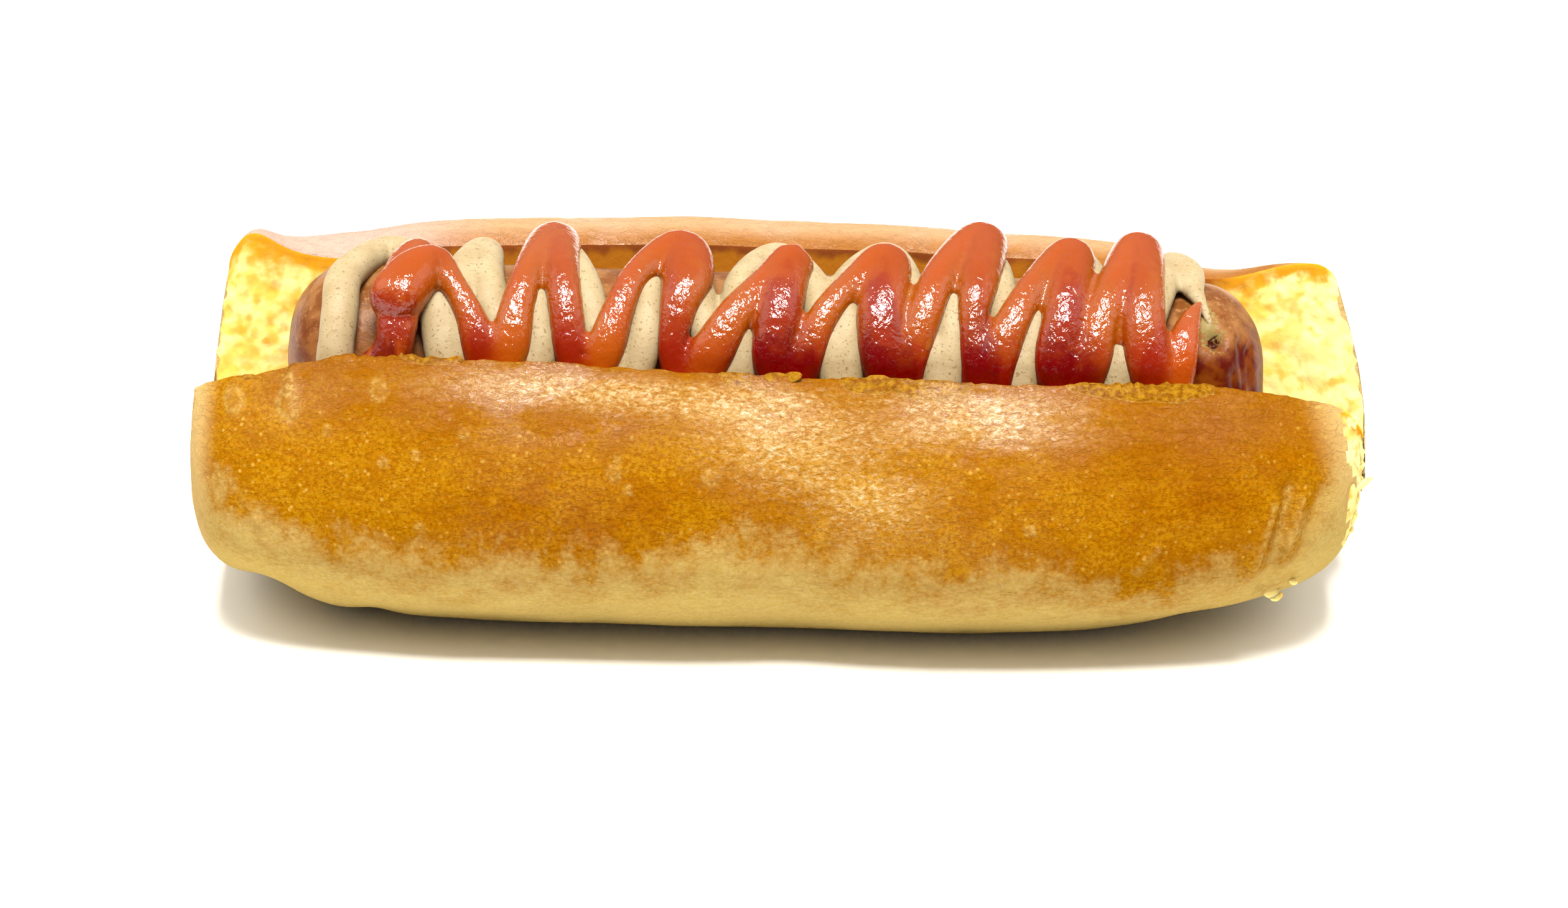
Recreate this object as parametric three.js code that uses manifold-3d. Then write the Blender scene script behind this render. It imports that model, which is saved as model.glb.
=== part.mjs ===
// A hot dog: a soft roll split along its top, a boiled sausage in the split, and a zigzag of mustard
// with a zigzag of ketchup over it. Millimetres, +Z up, +X along the roll, +Y towards its back wall.
// The roll rests on its flat base, and the origin is on the table under the middle of the roll.
import * as THREE from 'three';
import { LoftGeometry } from 'three/addons/geometries/LoftGeometry.js';
import { mergeVertices } from 'three/addons/utils/BufferGeometryUtils.js';
import Module from 'manifold-3d';

const wasm = await Module();
wasm.setup();

const { sin, cos, abs, max, min, sqrt, hypot, atan2, acos, exp, PI } = Math;

// Driving dimensions

const GAP = 0.3;                    // air kept between two neighbours
const CENTRE_X = -2.15;             // brings the middle of the bulging roll onto the origin

const ROLL_HALF_LENGTH = 78;        // where the crust meets the split at each end
const ROLL_HALF_WIDTH = 35.25;
const FRONT_BELLY_HEIGHT = 19;      // where each wall reaches furthest out
const BACK_BELLY_HEIGHT = 20;
const BASE_HALF_WIDTH = 13;
const SETTLE = 0.5;                 // the base has settled flat under the roll's weight
const CUT_FRONT = { y: -20.75, z: 39.6 };   // the cut edges at mid length
const CUT_BACK = { y: 18.25, z: 40.6 };
const FRONT_WAVES = [{ at: -42, width: 28, height: 1.8 }];
const BACK_WAVES = [
  { at: -74, width: 5, height: 1.2 },
  { at: -62, width: 11, height: -2 },
  { at: 60, width: 13, height: -2.6 },
  { at: 72, width: 7, height: 1 },
];
const FRONT_END_DROP = { left: 3.6, right: 2.6 };   // the front edge dips towards the roll's ends
const CORNER_RADIUS = 6;            // the cut edges round down at the roll's corners
const FRONT_CORNER_SHARE = { left: 0.2, right: 0.8 };
const BACK_RISE = 5.6;              // the back crust stands above its cut edge, less so at the right
const FRONT_DENT = { at: 3, width: 10, height: 1.3 };
const BLUNTNESS = { left: 4, right: 3.2 };  // exponents of the roll's rounded ends
const END_BULGE = { left: -1, rightFront: 3.3, rightBack: 5.2 };
const END_SHIFT = { left: 0.9, right: -0.8 };
const FACE_BOW = 0.6;               // the crumb of the split's faces swells a little into the split
const THINNEST_WALL = 0.04;         // at the roll's very ends, of the wall at mid length

const SAUSAGE_RADIUS = 13;
const SAUSAGE_AXIS = { y: -0.75, z: 32 };
const SAUSAGE_ENDS = { left: -67.5, right: 67 };
const SAUSAGE_CAP = 9;              // length of each rounded end
const PUCKER = { depth: 1.4, radius: 3.2 };  // the skin is drawn in where each end was tied
const BED_RADIUS = SAUSAGE_RADIUS + 0.4;
const BED_CLOSING = 0.55;           // the split narrows by this share towards the roll's ends
const BED_RISE = -2;

const STRAND_RADIUS = 2.6;
const NECK_RADIUS = 3;              // of the ketchup's first, fatter stroke
const LOW = { angle: 78, distance: 14.6 };  // a strand turns low between the sausage and the front wall
const MIDDLE_ANGLE = 39;
const MUSTARD_DISTANCE = 14.8;      // of a strand's centre from the sausage's axis
const KETCHUP_DISTANCE = 16.4;

// Fineness of the facets

const STATIONS = 35;                // cross sections of the roll
const CRUST_STEPS = 5;              // facets of each curve of the crust
const BED_STEPS = 6;
const SAUSAGE_SIDES = 28;
const HOLLOW_SIDES = 12;            // of the space kept round the sausage
const CAP_STEPS = 6;
const STRAND_SIDES = 6;
const STROKE_STEPS = 3;
const WELD = 1e-3;

// Shared shape functions

const bump = (x, { at, width, height }) => height * exp(-(((x - at) / width) ** 2));

const waves = (x, list) => list.reduce((sum, wave) => sum + bump(x, wave), 0);

function smooth(from, to, x) {
  const t = min(1, max(0, (x - from) / (to - from)));
  return t * t * (3 - 2 * t);
}

const point = (y, z) => new THREE.Vector2(y, z);

const inSpace = (x, p) => new THREE.Vector3(x + CENTRE_X, p.x, p.y);

const steps = (count, make) => Array.from({ length: count + 1 }, (_, i) => make(i / count, i));

// Roll: its cross sections lie in the YZ plane. Each goes from the front cut edge down the crust,
// under the base and up to the back cut edge, then down the back of the split, round the sausage's
// bed and up to the front edge again.

function cutEdges(x) {
  const end = x < 0 ? 'left' : 'right';
  const along = x / ROLL_HALF_LENGTH;
  const intoCorner = min(1, max(0, 1 - (ROLL_HALF_LENGTH - abs(x)) / CORNER_RADIUS));
  const corner = CORNER_RADIUS * (1 - sqrt(1 - intoCorner ** 2));
  const front = point(
    CUT_FRONT.y + 1.5 * smooth(0.5, 1, abs(along)),
    CUT_FRONT.z + waves(x, FRONT_WAVES) - FRONT_END_DROP[end] * smooth(0.72, 1, abs(along))
      - FRONT_CORNER_SHARE[end] * corner);
  const back = point(CUT_BACK.y + 0.5 * along, CUT_BACK.z + waves(x, BACK_WAVES) - corner);
  return { front, back };
}

// The split, from its back edge to its front edge, drawn in by inset.
function splitLine(x, inset = 0) {
  const { front, back } = cutEdges(x);
  front.x += inset;
  back.x -= inset;
  const closing = smooth(0.8, 1, abs(x) / ROLL_HALF_LENGTH);
  const radius = BED_RADIUS * (1 - BED_CLOSING * closing) - inset;
  const centre = point(SAUSAGE_AXIS.y, SAUSAGE_AXIS.z + (BED_RISE - BED_RADIUS * BED_CLOSING) * closing);
  const touching = (edge, side) => {
    const reach = hypot(edge.x - centre.x, edge.y - centre.y);
    return atan2(edge.y - centre.y, edge.x - centre.x) - side * acos(min(1, radius / reach));
  };
  const start = touching(back, 1);
  const frontTouch = touching(front, -1);
  const end = frontTouch > 0 ? frontTouch - 2 * PI : frontTouch;
  const bed = steps(BED_STEPS, (t) => {
    const angle = start + (end - start) * t;
    return point(centre.x + radius * cos(angle), centre.y + radius * sin(angle));
  });
  const face = (from, to) => [0.25, 0.5, 0.75].map((t) => {
    const inward = to.clone().sub(from).rotateAround(point(0, 0), -PI / 2);
    return from.clone().lerp(to, t).add(inward.setLength(FACE_BOW * sin(PI * t)));
  });
  return [back, ...face(back, bed[0]), ...bed, ...face(bed.at(-1), front), front];
}

function crustLine(x) {
  const { front, back } = cutEdges(x);
  const belly = point(-ROLL_HALF_WIDTH + bump(x, FRONT_DENT), FRONT_BELLY_HEIGHT);
  const backBelly = point(ROLL_HALF_WIDTH, BACK_BELLY_HEIGHT);
  const baseFront = point(-BASE_HALF_WIDTH, 0);
  const baseBack = point(BASE_HALF_WIDTH, 0);
  const rise = BACK_RISE * (1 - 0.75 * smooth(48, 62, x));
  const curve = (from, leaving, arriving, to) => new THREE.CubicBezierCurve(
    from, point(...leaving).add(from), point(...arriving).add(to), to).getPoints(CRUST_STEPS);
  return [
    ...curve(front, [-6.6, -3.5], [0, 10.5], belly),
    ...curve(belly, [0, -9], [-7.5, 0], baseFront).slice(1),
    point(0, 0),
    ...curve(baseBack, [11, 0], [0, -11], backBelly),
    ...curve(backBelly, [0, 14], [9, rise], back).slice(1),
  ];
}

// Points spaced evenly along a line of points.
function evenly(line, count) {
  const path = new THREE.CurvePath();
  line.slice(1).forEach((p, i) => path.add(new THREE.LineCurve(line[i], p)));
  return steps(count - 1, (t) => path.getPointAt(t));
}

function rollSection(x) {
  const end = x < 0 ? 'left' : 'right';
  const along = min(1, abs(x) / ROLL_HALF_LENGTH);
  const fullness = max(THINNEST_WALL, (1 - along ** BLUNTNESS[end]) ** (1 / BLUNTNESS[end]));
  const split = splitLine(x);
  const crust = crustLine(x);
  const inner = evenly([...split].reverse(), crust.length);
  const outer = crust.map((p, i) => inner[i].clone().lerp(p, fullness));
  return [...outer, ...split.slice(1, -1)].map((p) => {
    const middle = sin(PI * min(1, max(0, p.y / CUT_BACK.z)));
    const rightBulge = p.x > 0 ? END_BULGE.rightBack : END_BULGE.rightFront;
    const bulge = (end === 'left' ? END_BULGE.left : rightBulge) * middle;
    const settled = max(0, p.y - SETTLE * (1 - smooth(0, 6, p.y)));
    return inSpace(x + smooth(0.6, 1, along) * (END_SHIFT[end] + bulge), point(p.x, settled));
  });
}

// Stations crowd towards both ends, where the roll closes.
const stations = () => steps(STATIONS - 1, (t) => -ROLL_HALF_LENGTH * cos(PI * t));

const closedLoft = (sections) => new LoftGeometry(sections, { capStart: true, capEnd: true });

const rollGeometry = () => closedLoft(stations().map((x) => rollSection(x)));

// Everything above and between the split's faces, one gap clear of them.
function openSpace() {
  const HIGHEST = 80;
  return closedLoft(stations().slice(1, -1).map((x) => {
    const line = splitLine(x, GAP);
    const above = [point(line.at(-1).x, HIGHEST), point(line[0].x, HIGHEST)];
    return [...line, ...above].reverse().map((p) => inSpace(x, p));
  }));
}

// Sausage: turned about its axis, with blunt ends and a pucker in each.

function sausageGeometry(sides, grown = 0) {
  const radius = SAUSAGE_RADIUS + grown;
  const cap = steps(CAP_STEPS, (t, i) => {
    const r = i === 0 ? 0 : radius * sin((PI / 2) * t) ** 0.9;
    const dome = (SAUSAGE_CAP + grown) * cos((PI / 2) * t) ** 1.1;
    return point(r, dome - bump(r, { at: 0, width: PUCKER.radius, height: PUCKER.depth }));
  });
  const rightCap = cap.map((p) => point(p.x, SAUSAGE_ENDS.right - SAUSAGE_CAP + p.y));
  const leftCap = cap.map((p) => point(p.x, SAUSAGE_ENDS.left + SAUSAGE_CAP - p.y));
  return new THREE.LatheGeometry([...leftCap, ...rightCap.reverse()], sides)
    .rotateZ(-PI / 2)
    .translate(CENTRE_X, SAUSAGE_AXIS.y, SAUSAGE_AXIS.z);
}

// Sauces: a strand climbs out of the gap in front of the sausage, turns over its top and falls back,
// again and again. Each loop gives four places along the roll: where it is low, where it climbs and
// falls past the middle angle, and where it turns. A turn also has its angle round the sausage, in
// degrees from the top towards the front, and its distance from the sausage's axis, as do the
// single points at a strand's start and end.

const MUSTARD_LOOPS = [
  { low: -59.8, climb: -59.1, turn: [-53, -36, 14.8], fall: -46.3 },
  { low: -44.0, climb: -42.6, turn: [-41, -34, 15.0], fall: -38.5 },
  { low: -33.4, climb: -32.4, turn: [-30, -24, 14.8], fall: -25.3 },
  { low: -20.4, climb: -17.6, turn: [-15.2, -28, 15.0], fall: -10.7 },
  { low: -5.6, climb: -5.2, turn: [0.4, -28, 15.0], fall: 6.0 },
  { low: 8.8, climb: 9.2, turn: [14.3, -28, 15.4], fall: 18.7 },
  { low: 22.2, climb: 23.3, turn: [28.2, -24, 14.8], fall: 30.4 },
  { low: 32.4, climb: 34.6, turn: [40.2, -28, 15.8], fall: 43.8 },
  { low: 45.6, climb: 50, turn: [54.2, -26, 15.0], fall: 57.8 },
];
const MUSTARD_TAIL = [[59.5, 48, 14.6]];

const KETCHUP_NECK = [[-52.2, 78, 14.8], [-51.2, 38, 16.4], [-47.6, -8, 15.6]];
const KETCHUP_START = [[-53.4, 36, 17], [-50.6, 24, 17.2], [-46.8, 14, 16.8], [-43.6, 32, 16.4]];
const KETCHUP_LOOPS = [
  { low: -38.0, climb: -34.9, turn: [-31.2, -26, 16.6], fall: -28.5 },
  { low: -25.6, climb: -21.3, turn: [-13.4, -3, 16.8], fall: -13.3 },
  { low: -12.0, climb: -5.5, turn: [1.0, 10, 17.0], fall: 0.2 },
  { low: 1.6, climb: 6.3, turn: [14.3, 8, 17.0], fall: 13.7 },
  { low: 16.0, climb: 19.4, turn: [27.6, -26, 18.0], fall: 26.1 },
  { low: 28.1, climb: 31.9, turn: [39.5, -1, 17.0], fall: 38.2 },
  { low: 39.0, climb: 43.1, turn: [49.0, -10, 17.2], fall: 49.2 },
];
const KETCHUP_TAIL = [[52.2, 76, 14.6], [53.6, 54, 16.2], [57.2, 31, 15.2]];

function loopPoints(loops, distance) {
  return loops.flatMap(({ low, climb, turn, fall }) => [
    [low, LOW.angle, LOW.distance],
    [climb, MIDDLE_ANGLE, distance],
    turn,
    [fall, MIDDLE_ANGLE, distance],
  ]);
}

function onSausage([x, angle, distance]) {
  const turned = THREE.MathUtils.degToRad(angle);
  return inSpace(x, point(SAUSAGE_AXIS.y - distance * sin(turned), SAUSAGE_AXIS.z + distance * cos(turned)));
}

// A closed tube along a stretch of a curve, with ends that run a little past it and taper.
function stroke(curve, from, to, radius) {
  const ring = (t, onwards, r) => {
    const ahead = curve.getTangent(t);
    const middle = curve.getPoint(t).addScaledVector(ahead, onwards);
    const outward = new THREE.Vector3(0, middle.y - SAUSAGE_AXIS.y, middle.z - SAUSAGE_AXIS.z);
    const side = outward.cross(ahead).normalize();
    const up = ahead.clone().cross(side);
    return steps(STRAND_SIDES - 1, (_, k) => {
      const turned = (2 * PI * k) / STRAND_SIDES;
      return middle.clone().addScaledVector(side, r * cos(turned)).addScaledVector(up, r * sin(turned));
    });
  };
  const taper = 0.6 * radius;
  return closedLoft([
    ring(from, -taper, taper),
    ...steps(STROKE_STEPS, (t) => ring(from + (to - from) * t, 0, radius)),
    ring(to, taper, taper),
  ]);
}

// Joins and cuts

function solidOf(geometry) {
  const bare = new THREE.BufferGeometry().setIndex(geometry.index);
  bare.setAttribute('position', geometry.attributes.position);
  const merged = mergeVertices(bare, WELD);
  return new wasm.Manifold(new wasm.Mesh({
    numProp: 3,
    vertProperties: merged.attributes.position.array,
    triVerts: new Uint32Array(merged.index.array),
  }));
}

function geometryOf(solid) {
  const { vertProperties, triVerts } = solid.getMesh();
  const geometry = new THREE.BufferGeometry();
  geometry.setAttribute('position', new THREE.BufferAttribute(vertProperties, 3));
  geometry.setIndex(new THREE.BufferAttribute(triVerts, 1));
  geometry.computeVertexNormals();
  return geometry;
}

const join = (solids) => solids.reduce((whole, solid) => whole.add(solid));

const largest = (solid) => solid.decompose().reduce((a, b) => (b.volume() > a.volume() ? b : a));

// A strand is one tube for each stroke, up or down, joined because neighbouring strokes run together.
function strand(points, radius) {
  const curve = new THREE.CatmullRomCurve3(points.map(onSausage));
  const strokes = (points.length - 1) / 2;
  return join(steps(strokes - 1, (_, i) => solidOf(stroke(curve, i / strokes, (i + 1) / strokes, radius))));
}

const mustardStrand = (grown = 0) =>
  strand([...loopPoints(MUSTARD_LOOPS, MUSTARD_DISTANCE), ...MUSTARD_TAIL], STRAND_RADIUS + grown);

const ketchupStrand = () => join([
  strand(KETCHUP_NECK, NECK_RADIUS),
  strand([...KETCHUP_START, ...loopPoints(KETCHUP_LOOPS, KETCHUP_DISTANCE), ...KETCHUP_TAIL], STRAND_RADIUS),
]);

// The sausage with a gap round it, in so few flats that their corners stand further out.
function hollowForSausage() {
  const cornerReach = SAUSAGE_RADIUS * (1 / cos(PI / HOLLOW_SIDES) - 1);
  return solidOf(sausageGeometry(HOLLOW_SIDES, GAP + cornerReach));
}

// The ketchup is cut clear of the mustard by a grown strand, and again by the mustard itself where
// a grown tube folds at a tight turn.
function sauceSolids() {
  const space = solidOf(openSpace()).subtract(hollowForSausage());
  const mustard = largest(mustardStrand().intersect(space));
  const around = mustardStrand(GAP).add(mustard);
  const ketchup = largest(ketchupStrand().intersect(space).subtract(around));
  return { mustard, ketchup };
}

// The hot dog

function piece(name, geometry, color, roughness) {
  const mesh = new THREE.Mesh(geometry, new THREE.MeshStandardMaterial({ color, roughness, metalness: 0 }));
  mesh.name = name;
  return mesh;
}

const { mustard, ketchup } = sauceSolids();
const hotDog = new THREE.Group();
hotDog.add(
  piece('bun', rollGeometry(), 0xca7d09, 0.5),
  piece('sausage', sausageGeometry(SAUSAGE_SIDES), 0x8b460c, 0.35),
  piece('mustard', geometryOf(mustard), 0xe6d4a6, 0.45),
  piece('ketchup', geometryOf(ketchup), 0xa01405, 0.25),
);

export default hotDog;
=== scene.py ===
"""The looks of a hot dog on a white table: a split roll, a sausage, mustard, ketchup and torn crumb.

Lengths are in millimetres and angles in degrees, until a mesh is made. +X runs along the roll and
+Y from its front wall to its back wall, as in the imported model.
"""

import math

import bpy
import numpy as np
from mathutils import Matrix, Vector
from mathutils.bvhtree import BVHTree
from mathutils.kdtree import KDTree


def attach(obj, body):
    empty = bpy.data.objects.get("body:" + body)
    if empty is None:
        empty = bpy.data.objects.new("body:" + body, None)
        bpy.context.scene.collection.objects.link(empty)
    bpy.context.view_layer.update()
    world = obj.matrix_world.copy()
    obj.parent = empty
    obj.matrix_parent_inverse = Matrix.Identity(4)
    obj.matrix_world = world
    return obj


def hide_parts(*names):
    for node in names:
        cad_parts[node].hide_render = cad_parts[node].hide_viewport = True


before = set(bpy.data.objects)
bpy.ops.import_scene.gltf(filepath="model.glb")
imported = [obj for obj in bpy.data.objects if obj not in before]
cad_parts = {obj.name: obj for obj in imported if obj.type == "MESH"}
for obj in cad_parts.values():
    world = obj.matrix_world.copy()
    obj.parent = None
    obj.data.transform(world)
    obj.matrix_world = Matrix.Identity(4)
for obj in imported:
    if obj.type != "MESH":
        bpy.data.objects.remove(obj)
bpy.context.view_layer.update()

MM = 0.001
# How strongly the front is lit, and the crumb in the split, where 1 shows a white surface as white.
LIGHT = 2.6
CRUMB_LIGHT = 1.6

# ---------------------------------------------------------------- the roll's driving sizes

# Brings the middle of the bulging roll onto the origin.
CENTRE_X = -2.15
ROLL_HALF_LENGTH = 78.0
ROLL_HALF_WIDTH = 35.25
FRONT_BELLY_HEIGHT = 19.0
BACK_BELLY_HEIGHT = 20.0
BASE_HALF_WIDTH = 13.0
# How far the base has settled under the roll's weight, and up to what height that is felt.
SETTLE = 0.5
SETTLED_BELOW = 6
CUT_FRONT = (-20.75, 39.6)
CUT_BACK = (18.25, 40.6)
# Swells of the cut edges: x, how far each reaches along and its height. Pairs below are for the left
# and the right end.
FRONT_WAVES = [(-42, 28, 1.8)]
BACK_WAVES = [(-75.5, 4, 2.0), (-63, 10, -2.2), (-8, 36, 1.15), (60, 13, -2.4), (72, 7, 1)]
FRONT_END_DROP = (3.6, 2.6)
EDGE_DROPS_FROM = 0.72
FRONT_EDGE_SHIFT = 1.5
EDGE_SHIFTS_FROM = 0.5
BACK_EDGE_SLANT = 0.5
CORNER_RADIUS = 6.0
FRONT_CORNER_SHARE = (0.2, 0.8)
BACK_CORNER_RADIUS = (4.2, 2.4)
# How far the back crust stands above its cut edge, and the shares of it left towards the two ends.
BACK_RISE = 5.6
RISE_AT_RIGHT = 0.25
RISE_AT_LEFT = 0.3
RISE_FADES_RIGHT = (48, 62)
RISE_FADES_LEFT = (-74, -62)
BACK_SWELLING = [(-8, 30, 0.8), (52, 12, 0.8)]
FRONT_DENT = (3, 10, 1.3)
# Handles of the crust's curves: how far each curve leaves and reaches its ends, as y and z.
UPPER_FRONT_HANDLES = ((-6.6, -3.5), (0, 10.5))
LOWER_FRONT_HANDLES = ((0, -9), (-7.5, 0))
LOWER_BACK_HANDLES = ((11, 0), (0, -11))
UPPER_BACK_HANDLE = (0, 14)
UPPER_BACK_REACH = 9
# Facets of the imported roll's crust, counted up to the end of each curve and of the base.
CRUST_FACETS = (0, 5, 10, 12, 17, 22)
# Exponents of the rounded ends.
BLUNTNESS = (5.2, 3.2)
# How far each end bulges at mid height, at its front and its back wall.
END_BULGE_LEFT = (-1.5, -2.3)
END_BULGE_RIGHT = (2.2, 5.0)
END_SHIFT = (0.9, -0.8)
ENDS_FROM = 0.6
FACE_BOW = 0.6
WALL_THICKNESS = 16
THINNEST_WALL = 0.04

# ---------------------------------------------------------------- the sausage's driving sizes

SAUSAGE_RADIUS = 13.0
SAUSAGE_AXIS = (-0.75, 32.0)
SAUSAGE_ENDS = (-67.5, 67.0)
SAUSAGE_CAP = 9.0
BED_RADIUS = SAUSAGE_RADIUS + 0.4
BED_CLOSING = 0.55
BED_CLOSES_FROM = 0.8
BED_RISE = -2.0

# ---------------------------------------------------------------- how fine the meshes are

STATION_STEP = 0.5
STATION_SAMPLES = 60001
FRONT_CRUST_POINTS = 118
BASE_POINTS = 10
BACK_CRUST_POINTS = 54
FACE_POINTS = 40
BED_POINTS = 22


# ---------------------------------------------------------------- arithmetic


def smooth(low, high, x):
    """A share that eases from 0 to 1 as x goes from low to high."""
    t = np.clip((x - low) / (high - low), 0, 1)
    return t * t * (3 - 2 * t)


def bump(x, at, width, height):
    """A rounded rise of this height, centred at a place."""
    return height * np.exp(-(((x - at) / width) ** 2))


def waves(x, rows):
    return sum(bump(x, *row) for row in rows)


def by_end(x, pair):
    """The left or the right one of a pair of values, for each x."""
    return np.where(x < 0, pair[0], pair[1])


def lattice_value(cell, seed):
    """A fixed random number from -1 to 1 for each cell of a 3-D lattice."""
    with np.errstate(over="ignore"):
        mixed = cell.astype(np.uint32) * np.array([73856093, 19349663, 83492791], np.uint32)
        n = mixed[..., 0] ^ mixed[..., 1] ^ mixed[..., 2] ^ np.uint32(seed * 2654435761 % 2**32)
        n = (n ^ (n >> np.uint32(15))) * np.uint32(2246822519)
        n = (n ^ (n >> np.uint32(13))) * np.uint32(3266489917)
        n = n ^ (n >> np.uint32(16))
    return n / 2147483647.5 - 1


def noise(points, size, seed):
    """Smooth noise from -1 to 1 whose lumps are about size across."""
    scaled = points / size + 1000.0
    cell = np.floor(scaled).astype(np.int64)
    t = scaled - cell
    t = t * t * t * (t * (6 * t - 15) + 10)
    total = 0
    for corner in np.ndindex(2, 2, 2):
        share = np.prod(np.where(corner, t, 1 - t), axis=-1)
        total = total + share * lattice_value(cell + np.array(corner), seed)
    return total


def unevenness(points, rows, seed):
    """Noise added up from rows of how large its lumps are and how high."""
    return sum(height * noise(points, size, seed + i) for i, (size, height) in enumerate(rows))


# ---------------------------------------------------------------- meshes and materials


def new_piece(name, points, faces, material, smooth_shaded=True):
    """A mesh object from points in millimetres."""
    mesh = bpy.data.meshes.new(name)
    mesh.from_pydata((np.asarray(points) * MM).tolist(), [], faces)
    mesh.polygons.foreach_set("use_smooth", [smooth_shaded] * len(mesh.polygons))
    mesh.materials.append(material)
    mesh.update()
    piece = bpy.data.objects.new(name, mesh)
    bpy.context.collection.objects.link(piece)
    return piece


def set_attribute(piece, name, values):
    values = np.asarray(values, np.float32)
    kind, field = ("FLOAT", "value") if values.ndim == 1 else ("FLOAT_VECTOR", "vector")
    attribute = piece.data.attributes.new(name, kind, "POINT")
    attribute.data.foreach_set(field, values.ravel())


def vertices_of(piece):
    """A piece's vertices in millimetres."""
    co = np.empty(len(piece.data.vertices) * 3, np.float32)
    piece.data.vertices.foreach_get("co", co)
    return co.reshape(-1, 3).astype(float) / MM


def surface_of(piece):
    """A piece's faces, for finding where a ray meets them."""
    polygons = [tuple(polygon.vertices) for polygon in piece.data.polygons]
    return BVHTree.FromPolygons(vertices_of(piece).tolist(), polygons)


def search_tree(points):
    """A tree for finding the points nearest to a place."""
    tree = KDTree(len(points))
    for index, point in enumerate(points):
        tree.insert(point, index)
    tree.balance()
    return tree


def grid_faces(rows, columns):
    """Quads between rows of points, each row a closed ring of columns points."""
    r, c = np.meshgrid(np.arange(rows - 1), np.arange(columns), indexing="ij")
    after = (c + 1) % columns
    corners = [r * columns + c, r * columns + after, (r + 1) * columns + after, (r + 1) * columns + c]
    return np.stack(corners, -1).reshape(-1, 4).tolist()


def face_out(piece):
    """Turns a closed mesh so that its faces point outwards."""
    piece.data.calc_loop_triangles()
    corner = np.empty(len(piece.data.loop_triangles) * 3, int)
    piece.data.loop_triangles.foreach_get("vertices", corner)
    a, b, c = vertices_of(piece)[corner.reshape(-1, 3).T]
    if np.einsum("ij,ij->", np.cross(a, b), c) < 0:
        piece.data.flip_normals()


def seen(red, green, blue, light=LIGHT):
    """The surface colour that looks like these 8-bit values where it is lit this strongly."""
    share = np.array([red, green, blue]) / 255
    linear = np.where(share <= 0.04045, share / 12.92, ((share + 0.055) / 1.055) ** 2.4)
    return (*(linear / light).tolist(), 1.0)


class Nodes:
    """A node tree being made. Each call adds a node and returns its output socket."""

    def __init__(self, tree):
        self.tree = tree

    def node(self, kind, inputs=None, **settings):
        made = self.tree.nodes.new(kind)
        for key, value in settings.items():
            setattr(made, key, value)
        for key, value in (inputs or {}).items():
            if isinstance(value, bpy.types.NodeSocket):
                self.tree.links.new(value, made.inputs[key])
            else:
                made.inputs[key].default_value = value
        return made

    def math(self, operation, a, b=0.0):
        return self.node("ShaderNodeMath", {0: a, 1: b}, operation=operation).outputs["Value"]

    def times(self, a, b):
        return self.math("MULTIPLY", a, b)

    def plus(self, a, b):
        return self.math("ADD", a, b)


class Finish(Nodes):
    """A material being made."""

    def __init__(self, name):
        self.material = bpy.data.materials.new(name)
        self.material.use_nodes = True
        super().__init__(self.material.node_tree)
        self.tree.nodes.clear()
        self.place = self.node("ShaderNodeTexCoord").outputs["Object"]

    def attribute(self, name):
        return self.node("ShaderNodeAttribute", attribute_name=name).outputs["Fac"]

    def along(self, axis):
        """How far along an axis a place is, in metres."""
        return self.node("ShaderNodeSeparateXYZ", {0: self.place}).outputs[axis]

    def mapped(self, stretch=(1, 1, 1), shift=0.0):
        settings = {"Vector": self.place, "Scale": stretch, "Location": (shift, shift, shift)}
        return self.node("ShaderNodeMapping", settings).outputs["Vector"]

    def noise(self, size, detail=2.0, roughness=0.5, distortion=0.0, vector=None, shift=0.0):
        """Noise whose lumps are about size millimetres across."""
        settings = {
            "Vector": vector or self.mapped(shift=shift),
            "Scale": 1 / (size * MM),
            "Detail": detail,
            "Roughness": roughness,
            "Distortion": distortion,
        }
        return self.node("ShaderNodeTexNoise", settings).outputs["Fac"]

    def cells(self, size, shift):
        """Distance from the nearest of scattered points, about size millimetres apart."""
        settings = {"Vector": self.mapped(shift=shift), "Scale": 1 / (size * MM)}
        return self.node("ShaderNodeTexVoronoi", settings).outputs["Distance"]

    def spread(self, value, low, high, to_low=0.0, to_high=1.0):
        """Value from low to high becomes to_low to to_high, eased at both ends."""
        settings = {"Value": value, "From Min": low, "From Max": high, "To Min": to_low, "To Max": to_high}
        return self.node("ShaderNodeMapRange", settings, interpolation_type="SMOOTHSTEP").outputs["Result"]

    def unsteady(self, value, noise, most):
        """A value with up to most added or taken off as the noise wanders."""
        return self.plus(value, self.spread(noise, 0.3, 0.7, -most, most))

    def mix(self, share, a, b):
        return self.node("ShaderNodeMix", {0: share, 6: a, 7: b}, data_type="RGBA").outputs[2]

    def between(self, value, low, high, a, b):
        """Colour a, turning into colour b as value goes from low to high."""
        return self.mix(self.spread(value, low, high), a, b)

    def bumps(self, height, depth, under=None):
        """A normal from a height of 0 to 1 that stands for depth millimetres."""
        settings = {"Height": height, "Distance": depth * MM, "Strength": 1.0}
        if under:
            settings["Normal"] = under
        return self.node("ShaderNodeBump", settings).outputs["Normal"]

    def shade(self, **inputs):
        named = {key.replace("_", " "): value for key, value in inputs.items()}
        shader = self.node("ShaderNodeBsdfPrincipled", named)
        output = self.node("ShaderNodeOutputMaterial")
        self.tree.links.new(shader.outputs["BSDF"], output.inputs["Surface"])
        return self.material


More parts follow.
